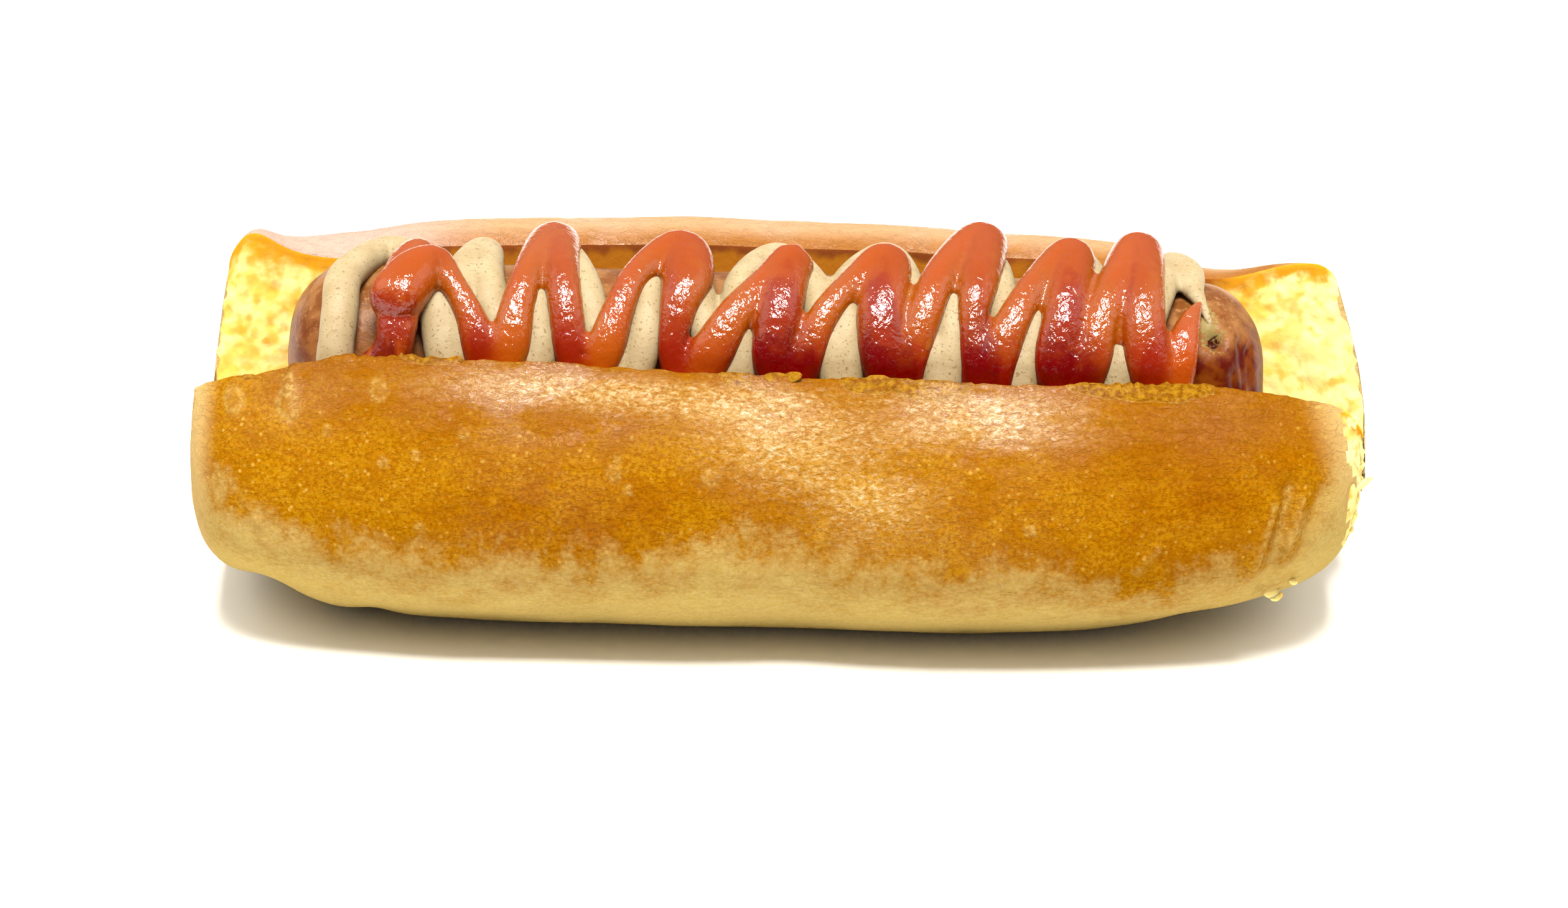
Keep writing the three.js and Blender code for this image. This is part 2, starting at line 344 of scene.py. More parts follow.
class Growth(Nodes):
    """A Geometry Nodes tree being made, with named inputs. It ends in real geometry with a material."""

    def __init__(self, name, **inputs):
        super().__init__(bpy.data.node_groups.new(name, "GeometryNodeTree"))
        kinds = {int: "NodeSocketInt", float: "NodeSocketFloat", bpy.types.Material: "NodeSocketMaterial"}
        self.new_socket("Geometry", "INPUT", "NodeSocketGeometry")
        for key, value in inputs.items():
            socket = self.new_socket(key.replace("_", " ").capitalize(), "INPUT", kinds[type(value)])
            socket.default_value = value
        self.new_socket("Geometry", "OUTPUT", "NodeSocketGeometry")
        self.given = self.node("NodeGroupInput").outputs

    def new_socket(self, name, way, kind):
        return self.tree.interface.new_socket(name, in_out=way, socket_type=kind)

    def named(self, name, data_type="FLOAT"):
        made = self.node("GeometryNodeInputNamedAttribute", {"Name": name}, data_type=data_type)
        return made.outputs["Attribute"]

    def end(self, geometry):
        real = self.node("GeometryNodeRealizeInstances", {"Geometry": geometry}).outputs["Geometry"]
        settings = {"Geometry": real, "Material": self.given["Material"]}
        finished = self.node("GeometryNodeSetMaterial", settings)
        output = self.node("NodeGroupOutput")
        self.tree.links.new(finished.outputs["Geometry"], output.inputs["Geometry"])
        return self.tree


def grow(piece, tree, **inputs):
    """Runs a tree on a piece, with these of its inputs set, and keeps the result as the piece's mesh."""
    modifier = piece.modifiers.new("growth", "NODES")
    modifier.node_group = tree
    named = {key.replace("_", " ").capitalize(): value for key, value in inputs.items()}
    for item in tree.interface.items_tree:
        if item.in_out == "INPUT" and item.name in named:
            modifier[item.identifier] = named[item.name]
    graph = bpy.context.evaluated_depsgraph_get()
    mesh = bpy.data.meshes.new_from_object(piece.evaluated_get(graph), depsgraph=graph)
    piece.modifiers.clear()
    piece.data = mesh
    mesh.polygons.foreach_set("use_smooth", [True] * len(mesh.polygons))
    return piece


# ---------------------------------------------------------------- the roll's cross sections


def cut_edges(x):
    """The front and the back cut edge at each x, as rows of y and z."""
    along = x / ROLL_HALF_LENGTH

    def corner(radius):
        return radius * (1 - np.sqrt(1 - np.clip(1 - (ROLL_HALF_LENGTH - abs(x)) / radius, 0, 1) ** 2))

    end_drop = by_end(x, FRONT_END_DROP) * smooth(EDGE_DROPS_FROM, 1, abs(along))
    front_y = CUT_FRONT[0] + FRONT_EDGE_SHIFT * smooth(EDGE_SHIFTS_FROM, 1, abs(along))
    front_z = CUT_FRONT[1] + waves(x, FRONT_WAVES) - end_drop
    front_z = front_z - by_end(x, FRONT_CORNER_SHARE) * corner(CORNER_RADIUS)
    back_y = CUT_BACK[0] + BACK_EDGE_SLANT * along
    back_z = CUT_BACK[1] + waves(x, BACK_WAVES) - corner(by_end(x, BACK_CORNER_RADIUS))
    return np.stack([front_y, front_z], -1), np.stack([back_y, back_z], -1)


def split_line(x):
    """The split's line at each x, from its back edge round the bed to its front edge."""
    front, back = cut_edges(x)
    closing = smooth(BED_CLOSES_FROM, 1, abs(x) / ROLL_HALF_LENGTH)
    radius = BED_RADIUS * (1 - BED_CLOSING * closing)
    centre_z = SAUSAGE_AXIS[1] + (BED_RISE - BED_RADIUS * BED_CLOSING) * closing
    centre = np.stack([np.full_like(x, SAUSAGE_AXIS[0]), centre_z], -1)

    def touching(edge, side):
        reach = edge - centre
        lean = np.arccos(np.minimum(1, radius / np.hypot(reach[:, 0], reach[:, 1])))
        return np.arctan2(reach[:, 1], reach[:, 0]) - side * lean

    start = touching(back, 1)
    end = touching(front, -1)
    end = np.where(end > 0, end - 2 * np.pi, end)
    turned = start[:, None] + (end - start)[:, None] * np.linspace(0, 1, BED_POINTS)
    bed = centre[:, None] + radius[:, None, None] * np.stack([np.cos(turned), np.sin(turned)], -1)

    def face(a, b):
        t = np.linspace(0, 1, FACE_POINTS + 1)[1:-1, None]
        run = b - a
        inward = np.stack([run[:, 1], -run[:, 0]], -1) / np.linalg.norm(run, axis=1)[:, None]
        return a[:, None] + run[:, None] * t + inward[:, None] * FACE_BOW * np.sin(np.pi * t)

    faces = face(back, bed[:, 0]), face(bed[:, -1], front)
    return np.concatenate([back[:, None], faces[0], bed, faces[1], front[:, None]], axis=1)


def offset(point, y, z):
    """Points moved by y and z, either of which may differ for each point."""
    return point + np.stack(np.broadcast_arrays(y, z), -1).reshape(-1, 2)


def bezier(start, leaving, arriving, end, t):
    """Points at each t of a curve for each x, from its end points and its two handles."""
    handles = offset(start, *leaving), offset(end, *arriving)
    weights = (1 - t) ** 3, 3 * (1 - t) ** 2 * t, 3 * (1 - t) * t**2, t**3
    points = start, *handles, end
    return sum(w[:, None] * p[:, None] for w, p in zip(weights, points))


def crust_line(x):
    """The crust's line at each x, from the front cut edge under the base to the back cut edge.

    Also gives how far along the crust each point is, from 0 to 1, with each of the four curves and
    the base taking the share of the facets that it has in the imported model.
    """
    front, back = cut_edges(x)
    ones = np.ones_like(x)
    belly = np.stack([-ROLL_HALF_WIDTH + bump(x, *FRONT_DENT), FRONT_BELLY_HEIGHT * ones], -1)
    back_belly = np.stack([ROLL_HALF_WIDTH * ones, BACK_BELLY_HEIGHT * ones], -1)
    base_front = np.stack([-BASE_HALF_WIDTH * ones, 0 * ones], -1)
    base_back = np.stack([BASE_HALF_WIDTH * ones, 0 * ones], -1)
    rise = BACK_RISE * (1 - (1 - RISE_AT_RIGHT) * smooth(*RISE_FADES_RIGHT, x))
    rise = rise * (RISE_AT_LEFT + (1 - RISE_AT_LEFT) * smooth(*RISE_FADES_LEFT, x))
    rise = rise + waves(x, BACK_SWELLING)
    front_steps = np.linspace(0, 1, FRONT_CRUST_POINTS // 2 + 1)[1:]
    back_steps = np.linspace(0, 1, BACK_CRUST_POINTS // 2 + 1)[1:]
    base_steps = np.linspace(0, 1, BASE_POINTS + 1)[1:]
    line = np.concatenate(
        [
            front[:, None],
            bezier(front, *UPPER_FRONT_HANDLES, belly, front_steps),
            bezier(belly, *LOWER_FRONT_HANDLES, base_front, front_steps),
            base_front[:, None] + (base_back - base_front)[:, None] * base_steps[:, None],
            bezier(base_back, *LOWER_BACK_HANDLES, back_belly, back_steps),
            bezier(back_belly, UPPER_BACK_HANDLE, (UPPER_BACK_REACH, rise), back, back_steps),
        ],
        axis=1,
    )
    runs = [front_steps, front_steps, base_steps, back_steps, back_steps]
    along = [0.0]
    for low, high, run in zip(CRUST_FACETS, CRUST_FACETS[1:], runs):
        along.extend(low + (high - low) * run)
    return line, np.array(along) / CRUST_FACETS[-1]


def at_shares(line, shares):
    """Points at these shares of a line's length, for each x."""
    step = np.linalg.norm(np.diff(line, axis=1), axis=2)
    length = np.concatenate([np.zeros((len(line), 1)), np.cumsum(step, axis=1)], axis=1)
    rows = []
    for points, run in zip(line, length):
        wanted = shares * run[-1]
        rows.append(np.stack([np.interp(wanted, run, points[:, k]) for k in range(2)], -1))
    return np.array(rows)


def fullness(x):
    """How much of its wall the roll has at x: 1 at mid length, falling to almost nothing at its ends."""
    blunt = by_end(x, BLUNTNESS)
    left = np.maximum(0, 1 - np.minimum(1, abs(x) / ROLL_HALF_LENGTH) ** blunt)
    return np.maximum(THINNEST_WALL, left ** (1 / blunt))


def stations():
    """Places of the cross sections, evenly spaced along the crust, round both of its ends too."""
    x = ROLL_HALF_LENGTH * np.sin(np.linspace(-np.pi / 2, np.pi / 2, STATION_SAMPLES))
    wall = WALL_THICKNESS * fullness(x)
    run = np.concatenate([[0], np.cumsum(np.hypot(np.diff(x), np.diff(wall)))])
    count = int(run[-1] / STATION_STEP)
    return np.interp(np.linspace(0, run[-1], count), run, x)


def settled(x, line):
    """Cross sections as points in space: the ends bulge and the base has settled flat."""
    y, z = line[..., 0], line[..., 1]
    x = np.broadcast_to(x[:, None], y.shape)
    middle = np.sin(np.pi * np.clip(z / CUT_BACK[1], 0, 1))
    front_bulge, back_bulge = (by_end(x, pair) for pair in zip(END_BULGE_LEFT, END_BULGE_RIGHT))
    bulge = np.where(y > 0, back_bulge, front_bulge) * middle
    moved = x + smooth(ENDS_FROM, 1, abs(x) / ROLL_HALF_LENGTH) * (by_end(x, END_SHIFT) + bulge)
    low = np.maximum(0, z - SETTLE * (1 - smooth(0, SETTLED_BELOW, z)))
    return np.stack([moved + CENTRE_X, y, low], -1)


# ---------------------------------------------------------------- the roll's relief

# The height where the brown crust turns pale, and its swells: x, how far each reaches and its height.
PALE_LINE = 18.3
PALE_WAVES = [(-80, 17, 6.5), (-8, 8, 3.8), (47, 12, -3.5), (77.5, 8.5, 15)]
# Blisters on the front: x, z, radius and height.
BLISTERS = [
    (-74.1, 35.1, 1.3, 0.45),
    (-66.7, 35.8, 1.5, 0.5),
    (-66.8, 37.4, 1.0, 0.35),
    (-54.7, 38.3, 1.1, 0.3),
    (-61.2, 34.0, 0.6, 0.25),
    (-53.5, 30.9, 0.6, 0.25),
    (-49.2, 31.8, 0.6, 0.2),
    (-43.0, 34.3, 0.6, 0.25),
    (-48.5, 23.2, 0.6, 0.25),
    (-24.3, 20.1, 0.8, 0.35),
    (-23.0, 30.4, 0.9, 0.3),
    (-22.6, 32.0, 0.5, 0.2),
    (-21.2, 28.5, 0.6, 0.25),
    (-10.4, 30.0, 1.0, 0.3),
    (31.8, 24.6, 0.7, 0.25),
    (35.1, 17.9, 0.6, 0.3),
    (36.1, 13.0, 0.9, 0.3),
    (46.5, 18.6, 0.7, 0.35),
]
# Creases and ridges on the front: x and z of both ends, width and height.
CREASES = [
    (64.2, 26.7, 62.0, 18.0, 0.9, 0.5),
    (66.3, 28.5, 64.0, 13.0, 1.3, -0.8),
    (67.8, 27.2, 66.4, 20.5, 0.9, 0.5),
    (70.6, 27.0, 67.5, 14.0, 1.5, -0.5),
    (4.9, 24.4, 3.5, 20.6, 0.6, 0.3),
    (6.2, 23.4, 4.4, 21.6, 0.5, 0.2),
    (20.6, 24.0, 20.1, 19.2, 0.5, 0.25),
    (48.9, 21.9, 47.3, 20.0, 0.7, 0.4),
    (-70.2, 22.2, -68.4, 24.2, 0.6, 0.3),
    (-71.4, 24.6, -70.2, 21.8, 0.5, 0.25),
    (-66.5, 38.6, -66.1, 36.9, 0.7, 0.3),
    (-58.2, 24.1, -58.0, 21.0, 0.5, 0.15),
    (-40.3, 22.8, -40.6, 19.6, 0.5, 0.2),
    (-31.5, 23.6, -31.9, 20.0, 0.5, 0.2),
    (-7.6, 23.3, -8.3, 20.8, 0.5, 0.2),
]
# Unevenness of each surface: how large its lumps are and how high.
CRUST_LUMPS = [(15, 0.32), (5, 0.12)]
CRUMB_LUMPS = [(3.2, 0.3), (1.3, 0.12)]
CRUMBLED_LUMPS = [(2.2, 1.5), (0.8, 0.7)]
STRIP_LUMPS = [(4.0, 1), (1.1, 0.5)]
# Fine veins of the browned crust.
VEINS = [(1.9, 1), (0.95, 0.5)]
VEIN_HEIGHT = 0.05
VEINS_FADE_IN = (0, 8)
# Hollows pressed into the lower front: x, z, how far each reaches along and up, and its depth.
DENTS = [(-71.5, 4, 5.5, 8, 2.2), (-56.5, 1, 3, 5, 0.6), (54, 0, 6, 5, 0.8), (3, 24, 3, 5, 0.3)]
# Patches of shine: x, how far each reaches along and its strength.
GLOSS = [(-33, 12, 1.0), (-4, 7, 0.6), (26, 11, 1.0), (-66, 8, 0.3), (58, 10, 0.15)]
# Patches of painted sheen, a highlight painted into the crust's colour: x, how far each reaches along,
# strength, and from where to where off the cut.
PAINTED_SHEEN = [
    (-33, 13, 0.6, 0.6, 7),
    (-15, 19, 0.8, 0.6, 8.5),
    (-4, 8, 0.6, 0.6, 17),
    (4, 10, 0.65, 5, 20),
    (25, 11, 0.95, 0.6, 11),
    (11, 7, 0.85, 13, 28),
]
# Darker patches above the pale line: x, how far each reaches along and its strength.
TOASTED = [(-30, 17, 1.0), (-3, 6, 0.5), (38, 25, 0.5)]
# Painted shade along the top edge at the right: x, how far it reaches along and its strength.
PAINTED_SHADE_TOP_RIGHT = (56, 11, 0.8)
# Dry strips lifted along the front cut edge: from x, to x and how far down each reaches.
LIFTED_STRIPS = [(6.5, 13.8, 2.4), (13.0, 24.0, 3.4), (36.5, 56.0, 2.4), (-9.5, -5.5, 2.6), (-52, -44, 1.2)]
# How much of the right end's crust has crumbled away.
CRUMBLED_END = 2.2
# Where the front cut edge is torn: x, how far each place reaches along and its strength.
TORN_EDGE = [(-53, 9, 0.5), (-1.0, 2.2, 0.7), (12.8, 3.6, 0.9), (46, 8.0, 0.8)]
RAGGED_STEP = 0.9
LIFT_WIDTH = 1.1
STRIP_HEIGHT = 0.3
# The back wall's split face is cut crust up to these distances from mid length.
CUT_CRUST_ENDS = (63, 56)
PORE_COUNT = 2600
PORE_RADIUS = (0.3, 1.3)
PORE_DEPTH = 0.4
NEAREST_PORES = 4
SEED = 7


def pale_line(x):
    """The height below which the crust is pale, where its neighbour in the oven shaded it."""
    return PALE_LINE + waves(x, PALE_WAVES)


def ring_normals(points):
    """Outward normals of rows of points, each row a closed ring."""
    along = np.gradient(points, axis=0)
    round_ring = np.roll(points, -1, axis=1) - np.roll(points, 1, axis=1)
    normal = np.cross(round_ring, along)
    normal /= np.maximum(np.linalg.norm(normal, axis=-1, keepdims=True), 1e-9)
    middle = len(points) // 2
    if normal[middle, np.argmin(points[middle, :, 1]), 1] > 0:
        normal = -normal
    return normal


def from_segment(x, z, x0, z0, x1, z1):
    """Distance of each point from a segment, in the plane of x and z."""
    run = np.array([x1 - x0, z1 - z0])
    t = np.clip(((x - x0) * run[0] + (z - z0) * run[1]) / (run @ run), 0, 1)
    return np.hypot(x - x0 - t * run[0], z - z0 - t * run[1])


def crust_relief(points):
    """Unevenness, fine veins above the pale line, blisters, creases and hollows."""
    x, y, z = np.moveaxis(points, -1, 0)
    relief = unevenness(points, CRUST_LUMPS, SEED)
    veins = 1 - abs(unevenness(points, VEINS, SEED + 2))
    relief = relief + VEIN_HEIGHT * veins * smooth(*VEINS_FADE_IN, z - pale_line(x))
    front = y < 0
    for at_x, at_z, radius, height in BLISTERS:
        near = np.hypot(x - at_x, z - at_z) / radius
        relief = relief + front * height * (1 - smooth(0.3, 1.1, near))
    for x0, z0, x1, z1, width, height in CREASES:
        relief = relief + front * bump(from_segment(x, z, x0, z0, x1, z1), 0, width, height)
    for at_x, at_z, along, up, depth in DENTS:
        away = ((x - at_x) / along) ** 2 + ((z - at_z) / up) ** 2
        relief = relief - (y < -8) * depth * np.exp(-away)
    return relief


def crumb_relief(points):
    """A torn unevenness with pores in it, as round hollows of many sizes. Also the pores' depth."""
    random = np.random.default_rng(SEED)
    flat = points.reshape(-1, 3)
    centres = flat[random.integers(0, len(flat), PORE_COUNT)]
    radii = PORE_RADIUS[0] + (PORE_RADIUS[1] - PORE_RADIUS[0]) * random.random(PORE_COUNT) ** 2.5
    tree = search_tree(centres)
    depth = np.zeros(len(flat))
    for index, point in enumerate(flat):
        for _, pore, distance in tree.find_n(point, NEAREST_PORES):
            share = 1 - (distance / radii[pore]) ** 2
            depth[index] = max(depth[index], share * radii[pore] * PORE_DEPTH)
    depth = depth.reshape(points.shape[:-1])
    return unevenness(points, CRUMB_LUMPS, SEED + 5) - depth, depth


def torn_height(x):
    """How far the front cut edge is torn up at x."""
    step = np.stack([x / RAGGED_STEP, 0 * x, 0 * x], -1)
    ragged = unevenness(step, [(1, 1), (0.4, 0.6)], SEED + 8)
    zone = sum(bump(x, at, width, height) for at, width, height in TORN_EDGE)
    long = noise(step, 3.2, SEED + 10)
    return 0.07 * ragged + 0.16 * long + zone * np.maximum(0, 0.2 + 0.5 * ragged)


def lifted_strip(points, from_front):
    """How much of a lifted dry strip there is at each point, from 0 to 1."""
    x = points[..., 0]
    ragged = unevenness(points, STRIP_LUMPS, SEED + 11)
    strip = 0
    for low, high, depth in LIFTED_STRIPS:
        share = np.clip((x - low) / (high - low), 0, 1)
        reach = depth * np.sin(np.pi * share) ** 0.4 + 0.6 * ragged
        strip = strip + (abs(share - 0.5) < 0.5) * smooth(0.3, -0.3, from_front - reach)
    return strip


def scars_and_highlights(points):
    """How much a blister's rim or a crease shows at each point, from 0 to 1, painted paler, partly as a
    highlight.
    """
    x, y, z = np.moveaxis(points, -1, 0)
    shown = 0
    for at_x, at_z, radius, _ in BLISTERS:
        near = np.hypot(x - at_x, z - at_z) / radius
        shown = shown + bump(near, 0.85, 0.25, 0.8) + bump(near, 0, 0.7, 0.35)
    for x0, z0, x1, z1, width, height in CREASES:
        shown = shown + bump(from_segment(x, z, x0, z0, x1, z1), 0, 0.4 * width, min(1, 2.2 * abs(height)))
    return np.clip(shown, 0, 1) * (y < 0)


def plain_roll():
    """The roll's points without relief, in rows of closed rings, and how many of a ring are crust."""
    x = stations()
    crust, shares = crust_line(x)
    split = split_line(x)
    inner = at_shares(split[:, ::-1], shares)
    outer = inner + (crust - inner) * fullness(x)[:, None, None]
    return settled(x, np.concatenate([outer, split[:, 1:-1]], axis=1)), outer.shape[1]


def from_edges(points, crust_count):
    """How far round its ring each point is from the front cut edge, and from the back one."""
    step = np.linalg.norm(points - np.roll(points, 1, axis=1), axis=-1)
    onwards = np.cumsum(step, axis=1) - step[:, :1]
    ring = onwards[:, -1:] + step[:, :1]
    from_front = np.minimum(onwards, ring - onwards)
    return from_front, abs(onwards - onwards[:, crust_count - 1 : crust_count])


def painted_sheen_at(x, near_edge):
    """How much painted sheen, a highlight painted into the crust's colour, there is at each point, from 0
    to 1.
    """
    painted_sheen = 0
    for at, along, strength, start, end in PAINTED_SHEEN:
        band = smooth(start, start + 3, near_edge) * smooth(end, 0.6 * end, near_edge)
        painted_sheen = painted_sheen + bump(x, at, along, strength) * band
    return np.clip(painted_sheen, 0, 1)


def roll_grid():
    """The roll's points in rows of closed rings, and what its finish needs to know at each.

    Also gives how many points of each ring are crust, and where the right end has crumbled.
    """
    points, crust_count = plain_roll()
    crust, crumb = np.s_[:, :crust_count], np.s_[:, crust_count:]
    from_front, from_back = from_edges(points, crust_count)
    near_edge = np.minimum(from_front, from_back)
    cut_crust = smooth(*CUT_CRUST_ENDS, abs(points[..., 0])) * (points[..., 1] > 0)
    calm = 1 - 0.9 * cut_crust * smooth(7, 5, from_back)
    relief = np.zeros(points.shape[:-1])
    hollow = np.zeros_like(relief)
    relief[crust] = crust_relief(points[crust])
    inside, hollow[crumb] = crumb_relief(points[crumb])
    hollow *= calm
    relief[crumb] = inside * (smooth(0.2, 2.0, near_edge) * calm)[crumb]
    strip = lifted_strip(points, from_front)
    strip[crumb] = 0
    scar_and_highlight = scars_and_highlights(points)
    points = points + ring_normals(points) * (relief + STRIP_HEIGHT * strip)[..., None]
    lifted = torn_height(points[..., 0]) * np.exp(-((from_front / LIFT_WIDTH) ** 2))
    points[..., 2] = np.maximum(0, points[..., 2] + lifted)
    at_x, at_y, at_z = np.moveaxis(points, -1, 0)
    rise = at_z - pale_line(at_x)
    toasted_and_shaded = waves(at_x, TOASTED) * smooth(-1, 3, rise) * smooth(15, 9, rise)
    # At the top right the darker brown is painted shade near the top edge.
    toasted_and_shaded = toasted_and_shaded + bump(at_x, *PAINTED_SHADE_TOP_RIGHT) * smooth(6, 12, rise)
    facts = {
        "rise": rise,
        "toasted_and_shaded": np.clip(toasted_and_shaded, 0, 1),
        # Where a highlight is painted into the front's colour as sheen.
        "painted_sheen": painted_sheen_at(at_x, near_edge) * (at_y < 0),
        "from_edge": near_edge,
        # How deep each pore is; the crumb's finish paints it amber as shade.
        "hollow": hollow,
        "gloss": np.clip(waves(at_x, GLOSS) * (1 - 0.9 * smooth(5, 14, near_edge)), 0.02, 1),
        # Paler crust at both ends, with a painted highlight where they round off.
        "pale_end_and_painted_highlight": smooth(76, 79.8, -at_x) + smooth(70, 76.5, at_x + 0.35 * (at_z - 29)),
        # Where a reflection is painted on the top of the back wall.
        "back": smooth(-4, 12, at_y) * smooth(12, 7, from_back) * (1 + smooth(-38, -62, at_x)) / 2,
        "cut_crust": cut_crust,
        "edge_band": 1 + 1.3 * smooth(62, 70, at_x) + 4 * smooth(73, 76, at_x),
        "strip": strip,
        # Blister rims and creases, painted paler partly as highlights.
        "scar_and_highlight": scar_and_highlight,
    }
    from_end = at_x.max(axis=0) - at_x + unevenness(points, CRUMBLED_LUMPS, SEED + 14)
    crumbled = (from_end < CRUMBLED_END) & (at_x > 60) & (at_y < 0) & (at_z > 6)
    return points, crust_count, facts, crumbled


def closing_faces(outer, inner):
    """Triangles between two lines of vertices that start and end together."""
    faces = []
    i = j = 0
    while i < len(outer) - 1 or j < len(inner) - 1:
        ahead_outer = (i + 1) / (len(outer) - 1) if i < len(outer) - 1 else 2
        ahead_inner = (j + 1) / (len(inner) - 1) if j < len(inner) - 1 else 2
        if ahead_outer <= ahead_inner:
            faces.append([outer[i], outer[i + 1], inner[j]])
            i += 1
        else:
            faces.append([outer[i], inner[j + 1], inner[j]])
            j += 1
    return [face for face in faces if len(set(face)) == 3]


def make_roll(crust, crumb):
    """The roll, with crust outside and crumb on the split's faces and the crumbled end."""
    points, crust_count, facts, crumbled = roll_grid()
    rows, columns = points.shape[:2]
    faces = grid_faces(rows, columns)
    open_end = crumbled.ravel()
    crumb_faces = [(corner % columns) >= crust_count - 1 or open_end[corner] for corner, *_ in faces]
    split = [0, *range(columns - 1, crust_count - 1, -1), crust_count - 1]
    first = closing_faces(list(range(crust_count)), split)
    last_row = (rows - 1) * columns
    faces += [face[::-1] for face in first]
    faces += [[corner + last_row for corner in face] for face in first]
    roll = new_piece("roll", points.reshape(-1, 3), faces, crust)
    roll.data.materials.append(crumb)
    chosen = np.zeros(len(roll.data.polygons), np.int32)
    chosen[: len(crumb_faces)] = crumb_faces
    roll.data.polygons.foreach_set("material_index", chosen)
    for name, values in facts.items():
        set_attribute(roll, name, values.ravel())
    face_out(roll)
    return roll


# ---------------------------------------------------------------- torn bits of the roll

# Flakes of crust on the front cut edge: x, how far above it, length, width and turns about x, y and z.
CRUST_FLAKES = [
    (-1.9, 0.5, 1.5, 0.8, 30, 6, 8),
    (-0.2, 0.7, 1.3, 0.7, 40, -18, -12),
    (9.9, 0.4, 1.0, 0.7, 20, -10, 5),
    (11.6, 0.6, 1.5, 0.8, 35, 4, 0),
    (13.3, 0.3, 1.1, 0.7, 25, 12, -8),
    (15.8, 0.1, 1.2, 0.9, 15, -8, 0),
    (18.0, 0.0, 1.4, 0.8, 20, 5, 6),
    (38.2, 0.4, 1.1, 0.7, 30, -14, 0),
    (40.4, 0.3, 1.6, 0.8, 30, 4, 0),
    (43.5, 0.2, 1.7, 0.8, 25, -4, 4),
    (46.8, 0.2, 1.5, 0.7, 28, 3, 0),
    (50.2, 0.1, 1.6, 0.6, 20, 6, -4),
    (54.0, 0.0, 1.2, 0.6, 15, 0, 0),
    (-44.8, 0.3, 0.9, 0.6, 40, -10, 0),
    (-52.6, 0.2, 0.9, 0.6, 30, 14, 0),
    (-66.0, 0.2, 0.9, 0.6, 25, 0, 0),
    (-72.5, 0.2, 0.8, 0.5, 30, 0, 0),
]
FLAKE_GROWTH = (1.25, 1.2)
FLAKE_THICKNESS = 0.25
# How far in front of and below the cut edge the flakes' middles sit.
FLAKE_SINK = (0.1, 0.6)
# Shreds of crumb torn at the right end: y from TORN_FACE_Y, z, length, width and turns about x, y and z.
CRUMB_SHREDS = [
    (-27.0, 35.5, 1.5, 0.55, 0, 8, 0),
    (-29.5, 31.5, 2.6, 0.6, 0, -4, 0),
    (-27.5, 30.0, 2.2, 0.5, 0, -10, 20),
    (-29.0, 25.5, 2.6, 0.6, 0, 58, 10),
    (-31.0, 25.0, 1.9, 0.6, 0, 10, 0),
    (-31.5, 20.5, 1.7, 0.5, 0, -12, 0),
    (-30.0, 17.5, 1.5, 0.5, 0, 30, 0),
    (-29.0, 13.5, 1.3, 0.5, 0, 20, 0),
    (-26.5, 9.5, 1.4, 0.55, 0, 50, 0),
    (-24.5, 36.5, 1.2, 0.45, 0, 16, 0),
    (-22.0, 33.0, 1.6, 0.5, 0, -8, 0),
    (-20.0, 29.0, 1.5, 0.45, 0, 12, 0),
]
# Tatters hanging under the right end: their place, their half sizes and turns about x, y and z.
TATTERS = [
    ((65.2, -23.3, 10.8), (1.2, 0.6, 0.85), (0, 20, 0)),
    ((66.0, -23.4, 10.2), (0.9, 0.45, 0.6), (0, -25, 10)),
    ((68.0, -23.6, 12.6), (0.6, 0.4, 0.4), (0, 25, 0)),
]
# Loose bits of crumb: how many, and the ranges of their z, length, width and turns.
CRUMB_BITS = 46
BITS_HEIGHT = (8, 37)
BITS_LENGTH = (0.4, 1.1)
BITS_WIDTH = (0.3, 0.5)
BITS_TURN = (-50, 50)
# The front edge of the torn face, where the bits sit: its y, the z where it bows most, and its bow.
TORN_FACE_EDGE = (-29.5, 22, 0.02)
BITS_OFF_EDGE = (-1.5, 3)
TORN_FACE_Y = 8.5
# Shreds sit where a ray from the far right meets the roll, if that is past SHREDS_FROM.
FAR_RIGHT = 120
SHREDS_FROM = 75.0


